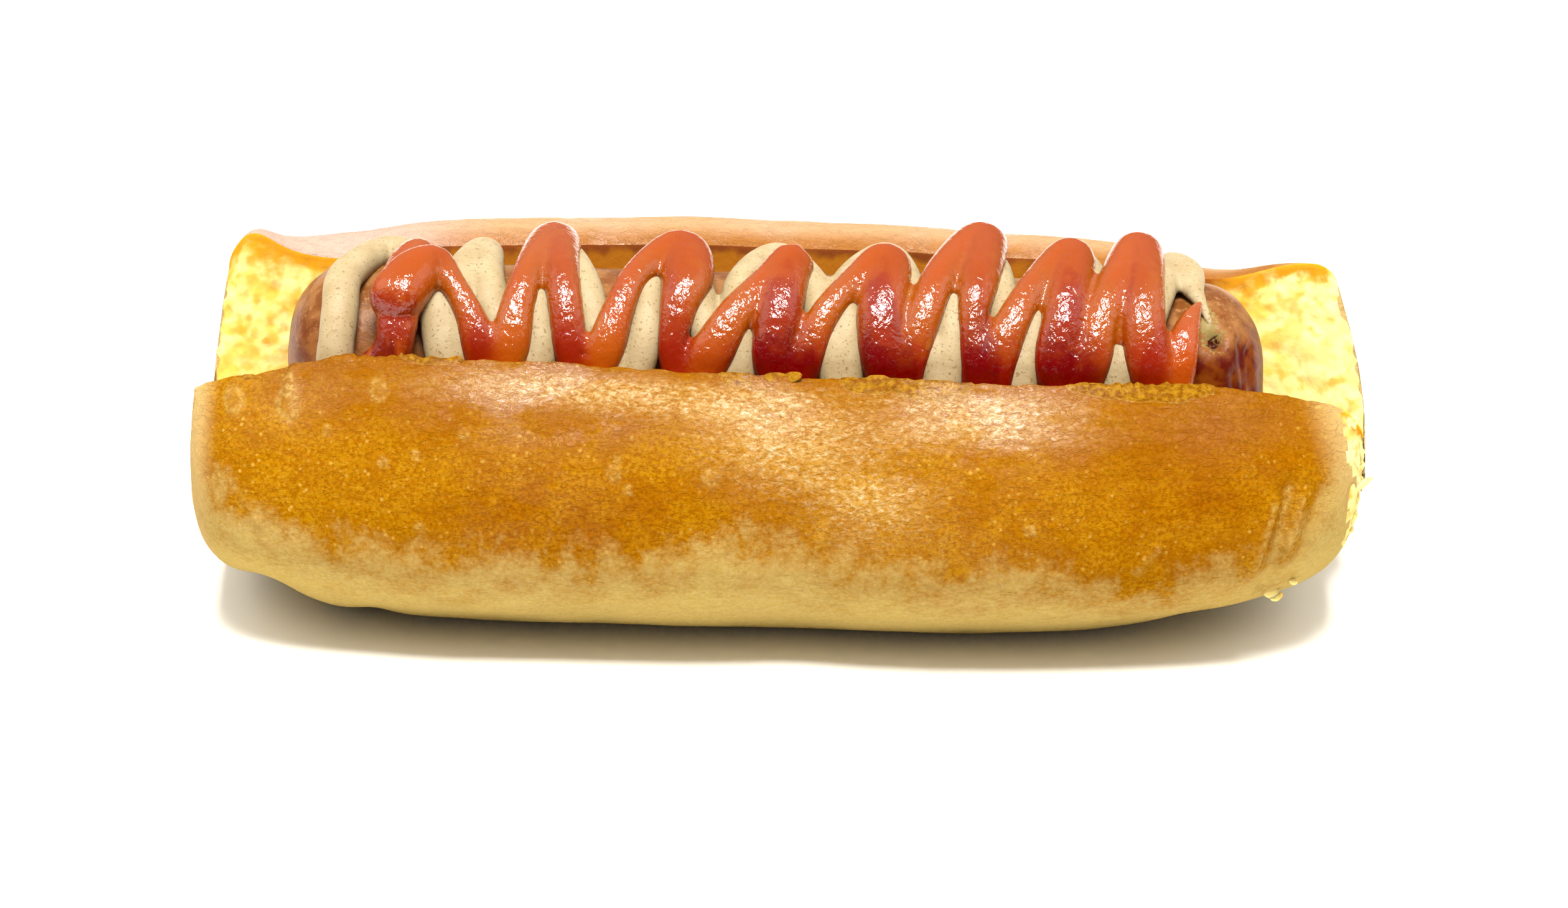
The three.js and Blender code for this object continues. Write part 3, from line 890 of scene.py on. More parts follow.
def tearing_tree(name, material):
    """Puts an irregular, curled bit on each point, with its own size and turn."""
    shape = {"fineness": 4, "curl": 0.25, "raggedness": 0.3 * MM, "grain": 1.1 * MM, "seed": 3.0}
    torn = Growth(name, material=material, **shape)
    given = torn.given
    ball = torn.node("GeometryNodeMeshIcoSphere", {"Radius": 1.0, "Subdivisions": given["Fineness"]})
    place = torn.node("GeometryNodeInputPosition").outputs["Position"]
    across = torn.node("ShaderNodeSeparateXYZ", {0: place}).outputs["X"]
    lift = torn.times(torn.times(across, across), given["Curl"])
    offset_up = torn.node("ShaderNodeCombineXYZ", {"Z": lift}).outputs["Vector"]
    bent = torn.node("GeometryNodeSetPosition", {"Geometry": ball.outputs["Mesh"], "Offset": offset_up})
    bits = torn.node(
        "GeometryNodeInstanceOnPoints",
        {
            "Points": given["Geometry"],
            "Instance": bent.outputs["Geometry"],
            "Rotation": torn.named("turn", "FLOAT_VECTOR"),
            "Scale": torn.named("size", "FLOAT_VECTOR"),
        },
    )
    real = torn.node("GeometryNodeRealizeInstances", {"Geometry": bits.outputs["Instances"]})
    scale = torn.math("DIVIDE", 1.0, given["Grain"])
    settings = {"Vector": place, "W": given["Seed"], "Scale": scale, "Detail": 2.0}
    lumps = torn.node("ShaderNodeTexNoise", settings, noise_dimensions="4D")
    push = torn.times(torn.math("SUBTRACT", lumps.outputs["Fac"], 0.5), given["Raggedness"])
    way = torn.node("GeometryNodeInputNormal").outputs["Normal"]
    moved = torn.node("ShaderNodeVectorMath", {0: way, "Scale": push}, operation="SCALE")
    settings = {"Geometry": real.outputs["Geometry"], "Offset": moved.outputs["Vector"]}
    ragged = torn.node("GeometryNodeSetPosition", settings)
    return torn.end(ragged.outputs["Geometry"])


def scatter(name, places, sizes, turns, material, facts, **inputs):
    """A piece with a torn bit at each place; facts are values that its finish needs."""
    piece = new_piece(name, places, [], material)
    set_attribute(piece, "size", np.array(sizes, float) * MM)
    set_attribute(piece, "turn", np.radians(turns))
    for key, value in facts.items():
        set_attribute(piece, key, np.full(len(places), value))
    return grow(piece, tearing_tree(name + ".tearing", material), **inputs)


def make_flakes(material):
    """Flakes of crust along the front cut edge."""
    x = np.array([row[0] for row in CRUST_FLAKES], float)
    front, _ = cut_edges(x - CENTRE_X)
    places = np.stack([x, front[:, 0] - FLAKE_SINK[0], front[:, 1] - FLAKE_SINK[1]], -1)
    places[:, 2] += [row[1] for row in CRUST_FLAKES]
    sizes = [(FLAKE_GROWTH[0] * row[2], FLAKE_GROWTH[1] * row[3], FLAKE_THICKNESS) for row in CRUST_FLAKES]
    turns = [row[4:] for row in CRUST_FLAKES]
    facts = {"rise": 16, "gloss": 0.15, "from_edge": 1, "strip": 0.8}
    return scatter("roll.flakes", places, sizes, turns, material, facts)


def make_shreds(roll, material):
    """Shreds and crumbs on the torn right end, and the tatters under it."""
    random = np.random.default_rng(SEED + 20)
    surface = surface_of(roll)
    rows = list(CRUMB_SHREDS)
    edge_y, edge_z, bow = TORN_FACE_EDGE
    for _ in range(CRUMB_BITS):
        z = random.uniform(*BITS_HEIGHT)
        y = edge_y + bow * (z - edge_z) ** 2 + random.uniform(*BITS_OFF_EDGE)
        size = random.uniform(*BITS_LENGTH), random.uniform(*BITS_WIDTH)
        rows.append((y, z, *size, *random.uniform(*BITS_TURN, 3)))
    places, sizes, turns = [], [], []
    for y, z, length, width, *turn in rows:
        start = Vector((FAR_RIGHT, y + TORN_FACE_Y, z))
        hit = surface.ray_cast(start, Vector((-1, 0, 0)))[0]
        if hit is not None and hit.x > SHREDS_FROM:
            places.append((hit.x - 0.1, y + TORN_FACE_Y, z))
            sizes.append((0.8 * width, width, length))
            turns.append(turn)
    for place, size, turn in TATTERS:
        places.append(place)
        sizes.append(size)
        turns.append(turn)
    # hollow gives the shreds a little of the crumb's painted pore shade.
    facts = {"from_edge": 9, "hollow": 0.2, "edge_band": 1}
    return scatter("roll.shreds", places, sizes, turns, material, facts, curl=0.1, raggedness=0.5 * MM)


# ---------------------------------------------------------------- the sausage

SAUSAGE_COLUMNS = 184
SAUSAGE_STEP = 0.44
CAP_RINGS = 58
INNERMOST_RING = 0.008
# Exponents of the caps' outline, which make them a little blunter than an ellipse.
CAP_SHAPE = (0.9, 1.1)
# The skin is drawn in where each end was tied: how wide and how deep.
PUCKER = (3.2, 1.4)
# The tied knot that shows at the right, as x, y and z, and a smear of mustard beside it, as x and z.
KNOT = (56.7, -9.6, 41.2)
SMEAR = (55.4, 43.2, 56.6, 41.6)
# Rings round the knot: how far off it, how wide, and how deep its pit and how high its rim is.
KNOT_PIT = (0, 1.1, 1.3)
KNOT_RIM = (2.8, 1.4, 0.35)
KNOT_CREASES = 11
KNOT_CREASE_BAND = (2.4, 1.8, 1)
KNOT_CREASE_DEPTH = 0.13
SKIN_STRETCH = (0.5, 1, 1)
SKIN_SEED = 31
# Added to the distance from the smear behind the sausage's top, so that it shows only in front.
OFF_THE_SMEAR = 9
# Distance from the knot and the smear given to the middles of the two ends.
FAR_OFF = 50
# Folds of the skin: x and z of both ends, width and height.
FOLDS = [
    (60.2, 40.6, 61.0, 35.6, 0.55, -0.45),
    (61.4, 39.4, 62.0, 34.2, 0.5, -0.4),
    (59.2, 37.6, 59.9, 33.2, 0.6, -0.35),
]


def sausage_profile():
    """The sausage's outline as rows of x and radius, from its left end to its right end."""
    left, right = SAUSAGE_ENDS
    turned = np.linspace(INNERMOST_RING, 1, CAP_RINGS) * np.pi / 2
    radius = SAUSAGE_RADIUS * np.sin(turned) ** CAP_SHAPE[0]
    dome = SAUSAGE_CAP * np.cos(turned) ** CAP_SHAPE[1] - bump(radius, 0, *PUCKER)
    body = np.arange(left + SAUSAGE_CAP + SAUSAGE_STEP, right - SAUSAGE_CAP, SAUSAGE_STEP)
    x = np.concatenate([left + SAUSAGE_CAP - dome, body, right - SAUSAGE_CAP + dome[::-1]])
    return x, np.concatenate([radius, np.full_like(body, SAUSAGE_RADIUS), radius[::-1]])


def around_axis(x, angle, distance):
    """Points at an angle from the top towards the front, and a distance, round the sausage's axis."""
    turned = np.radians(angle)
    y = SAUSAGE_AXIS[0] - distance * np.sin(turned)
    z = SAUSAGE_AXIS[1] + distance * np.cos(turned)
    return np.stack(np.broadcast_arrays(x + CENTRE_X, y, z), -1)


def skin_relief(points):
    """Soft lumps, the knot and the folds. Also how far off the knot and the smear of mustard are."""
    x, _, z = np.moveaxis(points, -1, 0)
    relief = 0.22 * noise(points, 13, SKIN_SEED) + 0.09 * noise(points * SKIN_STRETCH, 3.1, SKIN_SEED + 1)
    away = points - KNOT
    near = np.linalg.norm(away, axis=-1)
    turned = np.arctan2(away[..., 2] - 0.7 * away[..., 1], away[..., 0])
    star = np.cos(KNOT_CREASES * turned + 2.5 * noise(points, 2.2, SKIN_SEED + 2))
    uneven = near * (1 + 0.3 * noise(points, 2.0, SKIN_SEED + 3))
    relief = relief - bump(uneven, *KNOT_PIT) + bump(uneven, *KNOT_RIM)
    relief = relief - KNOT_CREASE_DEPTH * (0.5 + 0.5 * star) * bump(near, *KNOT_CREASE_BAND)
    front = points[..., 1] < SAUSAGE_AXIS[0]
    for x0, z0, x1, z1, width, height in FOLDS:
        relief = relief + front * bump(from_segment(x, z, x0, z0, x1, z1), 0, width, height)
    smear = from_segment(x, z, *SMEAR) + OFF_THE_SMEAR * (1 - front)
    return relief, near, smear


def make_sausage(material):
    """The sausage, in rings round its axis, with a fan of triangles closing each end."""
    x, radius = sausage_profile()
    angle = np.arange(SAUSAGE_COLUMNS) * 360 / SAUSAGE_COLUMNS
    points = around_axis(x[:, None], angle[None], radius[:, None])
    relief, near_knot, near_smear = skin_relief(points)
    points = points + ring_normals(points) * relief[..., None]
    rows, columns = points.shape[:2]
    ends = [points[0].mean(axis=0), points[-1].mean(axis=0)]
    faces = grid_faces(rows, columns)
    for centre, row, turn in ((rows * columns, 0, 1), (rows * columns + 1, rows - 1, -1)):
        ring = row * columns + np.arange(columns)
        fan = [[centre, int(a), int(b)][::turn] for a, b in zip(np.roll(ring, -1), ring)]
        faces += fan
    sausage = new_piece("sausage.skin", [*points.reshape(-1, 3), *ends], faces, material)
    set_attribute(sausage, "near_knot", [*near_knot.ravel(), FAR_OFF, FAR_OFF])
    set_attribute(sausage, "near_smear", [*near_smear.ravel(), FAR_OFF, FAR_OFF])
    face_out(sausage)
    return sausage


# ---------------------------------------------------------------- the sauces

STRAND_SIDES = 22
STRAND_STEP = 0.55
# How far a strand has to face up to have a round cross section.
ROUND_ABOVE = (0.72, 0.96)
# The least share of its size that a strand keeps at its rounded ends, squared.
END_POINT = 0.02
# Angles from the top where a strand turns low, and that it passes climbing; it falls past them too.
LOW_ANGLE = 77
CLIMB_ANGLES = (60, 40, 20)
# Distance of each strand's middle line from the sausage's axis, by its angle from the top.
MUSTARD_DISTANCES = {LOW_ANGLE: 14.6, 60: 14.9, 40: 14.9, 20: 14.9}
KETCHUP_DISTANCES = {LOW_ANGLE: 14.8, 60: 15.8, 40: 16.4, 20: 16.8}
MUSTARD_HALF_WIDTH = 2.6
MUSTARD_FLATNESS = 0.86
KETCHUP_FLATNESS = 0.9
KETCHUP_HALF_HEIGHTS = (1.7, 2.8)
# Air between the sauces and the sausage's skin.
SKIN_GAP = 0.06
# How far down the ketchup's thickness is looked for, and rounds of evening out what its finish needs.
DEEPEST = 12
THICKNESS_ROUNDS = 12
FALLING_ROUNDS = 16

# Each loop: where the strand is low; where it climbs past 60, 40 and 20 degrees; where it turns, with
# its angle from the top and its distance from the sausage's axis; where it falls past 20, 40 and 60.
MUSTARD_LOOPS = [
    (-59.8, (-59.3, -59.0, -58.85), (-53.5, -30, 14.8), (-47.1, -45.9, -45.0)),
    (-44.0, (-43.0, -42.7, -43.2), (-41.0, -32, 15.0), (-39.5, -38.1, -34.9)),
    (-33.3, (-31.8, -32.3, -33.0), (-30.3, -26, 14.8), (-26.6, -25.0, -22.9)),
    (-20.4, (-18.3, -17.6, -17.6), (-15.0, -28, 15.0), (-11.4, -10.3, -7.8)),
    (-5.6, (-4.8, -5.2, -5.1), (-0.5, -26, 15.0), (4.7, 6.0, 7.4)),
    (8.8, (9.5, 9.2, 9.0), (14.4, -26, 15.4), (17.5, 18.8, 20.5)),
    (22.2, (23.0, 23.5, 23.7), (28.3, -26, 14.8), (29.8, 30.6, 31.5)),
    (32.4, (33.5, 34.5, 35.3), (39.8, -27, 15.8), (43.2, 43.8, 44.7)),
    (45.4, (46.8, 49.2, 50.8), (53.6, -24, 15.0), ()),
]
# Rows of x, angle, distance, half width and half height: the last stroke thins out towards the knot.
MUSTARD_TAIL = [
    (55.2, -9, 14.7, 2.7, 2.1),
    (55.8, 2, 14.2, 2.2, 1.6),
    (56.4, 11, 13.9, 1.5, 1.1),
    (57.2, 19, 13.6, 0.95, 0.75),
    (57.9, 28, 13.4, 0.75, 0.55),
    (58.4, 35, 13.1, 0.4, 0.4),
]

# The ketchup's loops have their half widths too: low, climbing, at the turn and falling.
KETCHUP_LOOPS = [
    (-38.0, (-36.05, -35.05, -33.8), (-31.2, -26, 16.6), (-29.4, -28.5, -27.5)),
    (-25.6, (-23.3, -21.5, -19.2), (-13.7, -3, 16.8), (-12.4, -13.5, -14.0)),
    (-11.6, (-8.9, -5.6, -1.3), (1.5, 9, 17.0), (0.85, 0.15, -0.6)),
    (1.6, (3.9, 6.2, 10.4), (14.2, 7, 17.0), (14.5, 13.8, 14.4)),
    (16.0, (17.9, 19.5, 21.4), (27.4, -25, 18.0), (26.8, 26.2, 26.9)),
    (28.1, (29.3, 31.6, 34.6), (39.4, -4, 17.0), (39.1, 38.2, 37.3)),
    (39.2, (41.8, 43.2, 45.2), (48.9, -18, 17.2), (49.0, 49.0, 49.9)),
]
KETCHUP_HALF_WIDTHS = [
    (2.8, (3.0, 2.5, 2.3), 3.4, (2.6, 2.45, 2.45)),
    (2.6, (2.8, 2.3, 2.2), 3.5, (3.7, 2.6, 2.0)),
    (3.0, (3.2, 2.6, 2.3), 3.1, (3.3, 3.1, 2.9)),
    (3.0, (2.5, 2.2, 2.3), 3.3, (3.4, 3.4, 3.3)),
    (2.9, (2.5, 2.5, 2.7), 3.5, (3.0, 2.1, 2.4)),
    (3.1, (3.0, 2.5, 2.3), 3.2, (3.1, 3.0, 3.0)),
    (3.0, (3.0, 2.6, 2.7), 3.3, (3.1, 3.1, 3.3)),
]
# Rows of x, angle, distance, half width and half height.
KETCHUP_NECK = [
    (-53.9, 80, 15.2, 6.0, 2.4),
    (-52.7, 71, 16.4, 3.9, 2.4),
    (-51.3, 60, 17.0, 2.7, 2.4),
    (-51.0, 47, 17.0, 2.9, 2.4),
    (-51.0, 27, 16.8, 2.8, 2.3),
    (-50.0, 10, 16.2, 2.75, 2.3),
    (-48.6, -8, 15.6, 2.5, 2.2),
]
KETCHUP_START = [
    (-52.9, 48, 16.8, 2.5, 2.3),
    (-52.4, 45, 17.3, 3.4, 3.1),
    (-51.5, 40, 17.7, 3.8, 3.6),
    (-50.2, 33, 17.9, 3.8, 3.7),
    (-48.7, 25, 17.8, 3.7, 3.4),
    (-46.8, 19, 17.4, 3.1, 2.8),
    (-44.1, 28, 16.8, 2.0, 2.2),
    (-41.5, 43, 16.3, 2.1, 2.2),
    (-39.8, 58, 15.9, 2.7, 2.4),
]
KETCHUP_TAIL = [
    (52.2, 76, 14.8, 3.3, 2.4),
    (54.0, 60, 15.3, 2.3, 2.0),
    (54.6, 45, 15.1, 2.1, 1.7),
    (55.7, 31, 14.6, 1.4, 1.2),
    (57.2, 18, 14.2, 0.35, 0.45),
]


def loop_places(loop, distances):
    """Rows of x, angle and distance along one loop: low, climbing, at its turn and falling."""
    low, climb, turn, fall = loop
    climbing = [(x, at, distances[at]) for x, at in zip(climb, CLIMB_ANGLES)]
    falling = [(x, at, distances[at]) for x, at in zip(fall, CLIMB_ANGLES[::-1])]
    return [(low, LOW_ANGLE, distances[LOW_ANGLE]), *climbing, turn, *falling]


def mustard_rows():
    halves = MUSTARD_HALF_WIDTH, MUSTARD_HALF_WIDTH * MUSTARD_FLATNESS
    places = [place for loop in MUSTARD_LOOPS for place in loop_places(loop, MUSTARD_DISTANCES)]
    return [(*place, *halves) for place in places] + MUSTARD_TAIL


def ketchup_rows():
    rows = list(KETCHUP_START)
    thinnest, thickest = KETCHUP_HALF_HEIGHTS
    for loop, (low, climb, turn, fall) in zip(KETCHUP_LOOPS, KETCHUP_HALF_WIDTHS):
        for place, half in zip(loop_places(loop, KETCHUP_DISTANCES), [low, *climb, turn, *fall]):
            half_height = min(thickest, max(thinnest, KETCHUP_FLATNESS * half))
            rows.append((*place, half, half_height))
    return rows + KETCHUP_TAIL


def through(points, step):
    """Points every step or so along a smooth curve through points, which may have more columns."""
    gap = np.sqrt(np.linalg.norm(np.diff(points[:, :3], axis=0), axis=1))
    knots = np.concatenate([[0], np.cumsum(gap)])
    slope = np.gradient(points, knots, axis=0)
    parts = []
    for i in range(len(points) - 1):
        count = max(2, int(gap[i] ** 2 / step))
        t = np.linspace(0, 1, count, endpoint=False)[:, None]
        span = knots[i + 1] - knots[i]
        start, end = points[i], points[i + 1]
        parts.append(
            (2 * t**3 - 3 * t**2 + 1) * start
            + (t**3 - 2 * t**2 + t) * span * slope[i]
            + (3 * t**2 - 2 * t**3) * end
            + (t**3 - t**2) * span * slope[i + 1]
        )
    return np.concatenate([*parts, points[-1:]])


def strand_line(rows):
    """The strand's middle line as rows of a point, a half width and a half height."""
    rows = np.array(rows, float)
    points = around_axis(rows[:, 0], rows[:, 1], rows[:, 2])
    return through(np.concatenate([points, rows[:, 3:]], axis=1), STRAND_STEP)


def strand_tube(line, roundness, first_vertex=0):
    """Points and faces of a closed tube round a strand's middle line, with rounded ends.

    A roundness of 1 makes its cross section an ellipse. Less makes it boxier down the sausage's side.
    """
    middle, half = line[:, :3], line[:, 3:]
    ahead = np.gradient(middle, axis=0)
    ahead /= np.linalg.norm(ahead, axis=1, keepdims=True)
    outward = middle - (0, *SAUSAGE_AXIS)
    outward[:, 0] = 0
    outward -= ahead * np.einsum("ij,ij->i", outward, ahead)[:, None]
    outward /= np.linalg.norm(outward, axis=1, keepdims=True)
    side = np.cross(outward, ahead)
    run = np.concatenate([[0], np.cumsum(np.linalg.norm(np.diff(middle, axis=0), axis=1))])
    from_end = np.minimum(run, run[-1] - run)
    rounding = np.sqrt(np.maximum(END_POINT, 1 - np.maximum(0, 1 - from_end / half.mean(axis=1)) ** 2))
    half = half * rounding[:, None]
    turned = np.linspace(0, 2 * np.pi, STRAND_SIDES, endpoint=False)
    power = roundness + (1 - roundness) * smooth(*ROUND_ABOVE, outward[:, 2:])

    def boxed(share):
        return np.sign(share) * abs(share) ** power

    across = boxed(np.cos(turned)) * half[:, :1]
    up = boxed(np.sin(turned)) * half[:, 1:]
    rings = middle[:, None] + side[:, None] * across[..., None] + outward[:, None] * up[..., None]
    rows = len(rings)
    faces = [[corner + first_vertex for corner in face] for face in grid_faces(rows, STRAND_SIDES)]
    last = first_vertex + (rows - 1) * STRAND_SIDES
    faces.append([first_vertex + i for i in range(STRAND_SIDES)])
    faces.append([last + i for i in reversed(range(STRAND_SIDES))])
    return rings.reshape(-1, 3), faces


def melting_tree(name, material):
    """Joins closed tubes that touch into one body of sauce, with its creases softened."""
    sauce = Growth(name, material=material, fineness=0.36 * MM, skin=0.9 * MM, level=0.1, softening=3)
    given = sauce.given
    volume = sauce.node(
        "GeometryNodeMeshToVolume",
        {
            "Mesh": given["Geometry"],
            "Density": 1.0,
            "Voxel Size": given["Fineness"],
            "Interior Band Width": given["Skin"],
        },
        resolution_mode="VOXEL_SIZE",
    )
    body = sauce.node(
        "GeometryNodeVolumeToMesh",
        {"Volume": volume.outputs["Volume"], "Threshold": given["Level"], "Adaptivity": 0.0},
    )
    place = sauce.node("GeometryNodeInputPosition").outputs["Position"]
    settings = {"Value": place, "Iterations": given["Softening"]}
    soft = sauce.node("GeometryNodeBlurAttribute", settings, data_type="FLOAT_VECTOR")
    settings = {"Geometry": body.outputs["Mesh"], "Position": soft.outputs["Value"]}
    moved = sauce.node("GeometryNodeSetPosition", settings)
    return sauce.end(moved.outputs["Geometry"])


def move_vertices(piece, points):
    """Puts a piece's vertices at these points, in millimetres."""
    piece.data.vertices.foreach_set("co", (points * MM).astype(np.float32).ravel())
    piece.data.update()


def clear_of_sausage(points, gap):
    """Moves points that lie inside the sausage out to its skin."""
    x, radius = sausage_profile()
    across = points[:, 1:] - SAUSAGE_AXIS
    distance = np.maximum(np.linalg.norm(across, axis=1), 1e-6)
    wanted = np.interp(points[:, 0] - CENTRE_X, x, radius, left=0, right=0) + gap
    moved = points.copy()
    moved[:, 1:] = SAUSAGE_AXIS + across * np.maximum(1, wanted / distance)[:, None]
    return moved


def make_sauce(name, rows_of_strands, material, roundness, softening):
    """A sauce whose strands have melted together, lying on the sausage."""
    points, faces = [], []
    for rows in rows_of_strands:
        more_points, more_faces = strand_tube(strand_line(rows), roundness, sum(map(len, points)))
        points.append(more_points)
        faces += more_faces
    tubes = new_piece(name, np.concatenate(points), faces, material)
    face_out(tubes)
    tree = melting_tree(name + ".melting", material)
    sauce = grow(tubes, tree, softening=softening)
    move_vertices(sauce, clear_of_sausage(vertices_of(sauce), SKIN_GAP))
    return sauce


def softened(piece, values, rounds):
    """Values at a mesh's points, each averaged with its neighbours, round after round."""
    edges = np.empty(len(piece.data.edges) * 2, np.int32)
    piece.data.edges.foreach_get("vertices", edges)
    a, b = edges.reshape(-1, 2).T
    count = 1 + np.bincount(a, minlength=len(values)) + np.bincount(b, minlength=len(values))
    for _ in range(rounds):
        around = np.bincount(a, values[b], len(values)) + np.bincount(b, values[a], len(values))
        values = (values + around) / count
    return values


def set_thickness(sauce, *carriers):
    """Gives each point of a sauce how thick it is there, down to what carries it, and its height."""
    points = vertices_of(sauce)
    surfaces = [surface_of(carrier) for carrier in carriers]
    thickness = np.zeros(len(points))
    axis_y, axis_z = SAUSAGE_AXIS
    for index, point in enumerate(points):
        inward = Vector((0, axis_y - point[1], axis_z - point[2])).normalized()
        reach = [surface.ray_cast(Vector(point), inward, DEEPEST)[3] for surface in surfaces]
        thickness[index] = min((depth for depth in reach if depth is not None), default=0)
    set_attribute(sauce, "thickness", softened(sauce, thickness, THICKNESS_ROUNDS))
    set_attribute(sauce, "height", points[:, 2])


def set_falling(sauce, rows):
    """Gives each point of a sauce whether its strand runs down (1) or up (0) there."""
    line = strand_line(rows)[:, :3]
    _, y, z = (line - (0, *SAUSAGE_AXIS)).T
    falling = smooth(-0.5, 0.5, np.gradient(np.degrees(np.arctan2(-y, z))))
    tree = search_tree(line)
    nearest = [tree.find(point)[1] for point in vertices_of(sauce)]
    set_attribute(sauce, "falling", softened(sauce, falling[nearest], FALLING_ROUNDS))


# ---------------------------------------------------------------- the finishes


def crust_finish():
    """Egg-washed crust: golden brown above, pale below, grainy, and glossy in patches of fine wrinkles."""
    finish = Finish("crust")
    grain = finish.noise(0.55, 3, 0.65)
    fine = finish.noise(0.8, 3, 0.6, shift=13.0)
    mottle = finish.noise(5.5, 3, 0.55, shift=3.0)
    lumps = finish.noise(2.3, 4, 0.62, 0.4, vector=finish.mapped((1, 1, 0.8), 17.0))
    above = finish.attribute("rise")
    rise = above
    for unevenness, most in ((mottle, 2.4), (fine, 0.8), (lumps, 1.6)):
        rise = finish.unsteady(rise, unevenness, most)

    light = finish.between(mottle, 0.35, 0.65, seen(194, 122, 2), seen(216, 150, 14))
    browned = finish.between(grain, 0.36, 0.62, seen(186, 112, 0), light)
    flecks = finish.spread(finish.noise(0.45, 3, 0.6, shift=21.0), 0.54, 0.7, 0.0, 0.6)
    browned = finish.mix(flecks, browned, seen(230, 170, 44))
    dots = finish.spread(finish.cells(1.3, 9.0), 0.26, 0.12)
    dots = finish.times(dots, finish.spread(finish.noise(2.6, 2, 0.5, shift=15.0), 0.42, 0.6))
    browned = finish.mix(dots, browned, seen(236, 180, 70))
    # The darker brown of the toasted patches, and of the painted shade at the top right.
    toasted_and_shaded_brown = finish.between(grain, 0.36, 0.62, seen(160, 86, 0), seen(190, 112, 2))
    toasted_and_shaded = finish.times(finish.attribute("toasted_and_shaded"), finish.spread(mottle, 0.3, 0.6, 0.9, 0.45))
    browned = finish.mix(toasted_and_shaded, browned, toasted_and_shaded_brown)
    # Darker towards the top edge: crust baked a little darker there, and painted shade.
    browned = finish.mix(finish.spread(above, 11, 19, 0.0, 0.55), browned, seen(168, 92, 2))

    tan = finish.between(grain, 0.3, 0.7, seen(214, 166, 76), seen(230, 188, 108))
    pale = finish.between(grain, 0.3, 0.7, seen(234, 196, 104), seen(244, 212, 128))
    below = finish.between(rise, -10, -1, pale, tan)
    colour = finish.between(rise, -3, 3.5, below, browned)

    strip = finish.attribute("strip")
    dry = finish.between(fine, 0.35, 0.65, seen(158, 92, 6), seen(206, 146, 30))
    colour = finish.between(strip, 0.35, 0.7, colour, dry)
    crack = finish.times(finish.spread(strip, 0.05, 0.25), finish.spread(strip, 0.55, 0.35))
    # Paler blister rims, crease lines and strip edges: partly their own colour, partly painted highlights.
    scar_and_highlight = finish.plus(finish.attribute("scar_and_highlight"), finish.times(crack, 0.5))
    scar_and_highlight = finish.times(scar_and_highlight, finish.spread(fine, 0.45, 0.6, 0.25, 0.8))
    colour = finish.mix(scar_and_highlight, colour, seen(240, 196, 104))

    # Painted reflection on the top of the back wall: peach to whitish pink, browner by its cut edge as
    # painted shade.
    back = finish.attribute("back")
    painted_back_glare = finish.between(finish.attribute("from_edge"), 0.5, 4.5, seen(206, 132, 60), seen(240, 190, 136))
    colour = finish.between(back, 0, 0.5, colour, painted_back_glare)
    colour = finish.between(back, 0.5, 1, colour, seen(246, 206, 180))
    # Paler at both ends: pale crust, with a painted highlight where the ends round off.
    colour = finish.mix(finish.attribute("pale_end_and_painted_highlight"), colour, seen(250, 208, 132))

    wrinkles = finish.noise(1.2, 4, 0.66, 0.5, vector=finish.mapped((0.55, 1, 1), 5.0))
    ridges = finish.math("ABSOLUTE", finish.math("SUBTRACT", wrinkles, 0.5))
    dashes = finish.noise(0.6, 4, 0.75, 0.6, vector=finish.mapped((0.6, 1, 1.15), 19.0))
    # Painted sheen near the front cut edge: lighter dashes, and near-white painted glints.
    painted_sheen = finish.attribute("painted_sheen")
    painted_sheen_share = finish.times(painted_sheen, finish.spread(dashes, 0.36, 0.6, 0.1, 0.85))
    colour = finish.mix(painted_sheen_share, colour, seen(240, 190, 108))
    bright = finish.times(painted_sheen, finish.spread(dashes, 0.54, 0.66, 0.0, 0.9))
    colour = finish.mix(bright, colour, seen(254, 226, 178))
    skin = finish.bumps(finish.plus(finish.spread(ridges, 0.0, 0.14), finish.times(dashes, 1.3)), 0.1)
    patches = finish.noise(4.5, 3, 0.6, 0.4, vector=finish.mapped((0.5, 1, 1), 11.0))
    gloss = finish.times(finish.attribute("gloss"), finish.spread(patches, 0.38, 0.56, 0.15, 1.0))
    return finish.shade(
        Base_Color=colour,
        Roughness=0.6,
        Specular_IOR_Level=0.0,
        Coat_Weight=gloss,
        Coat_Roughness=0.22,
        Coat_IOR=1.5,
        Normal=finish.bumps(grain, 0.05, skin),
        Coat_Normal=skin,
    )


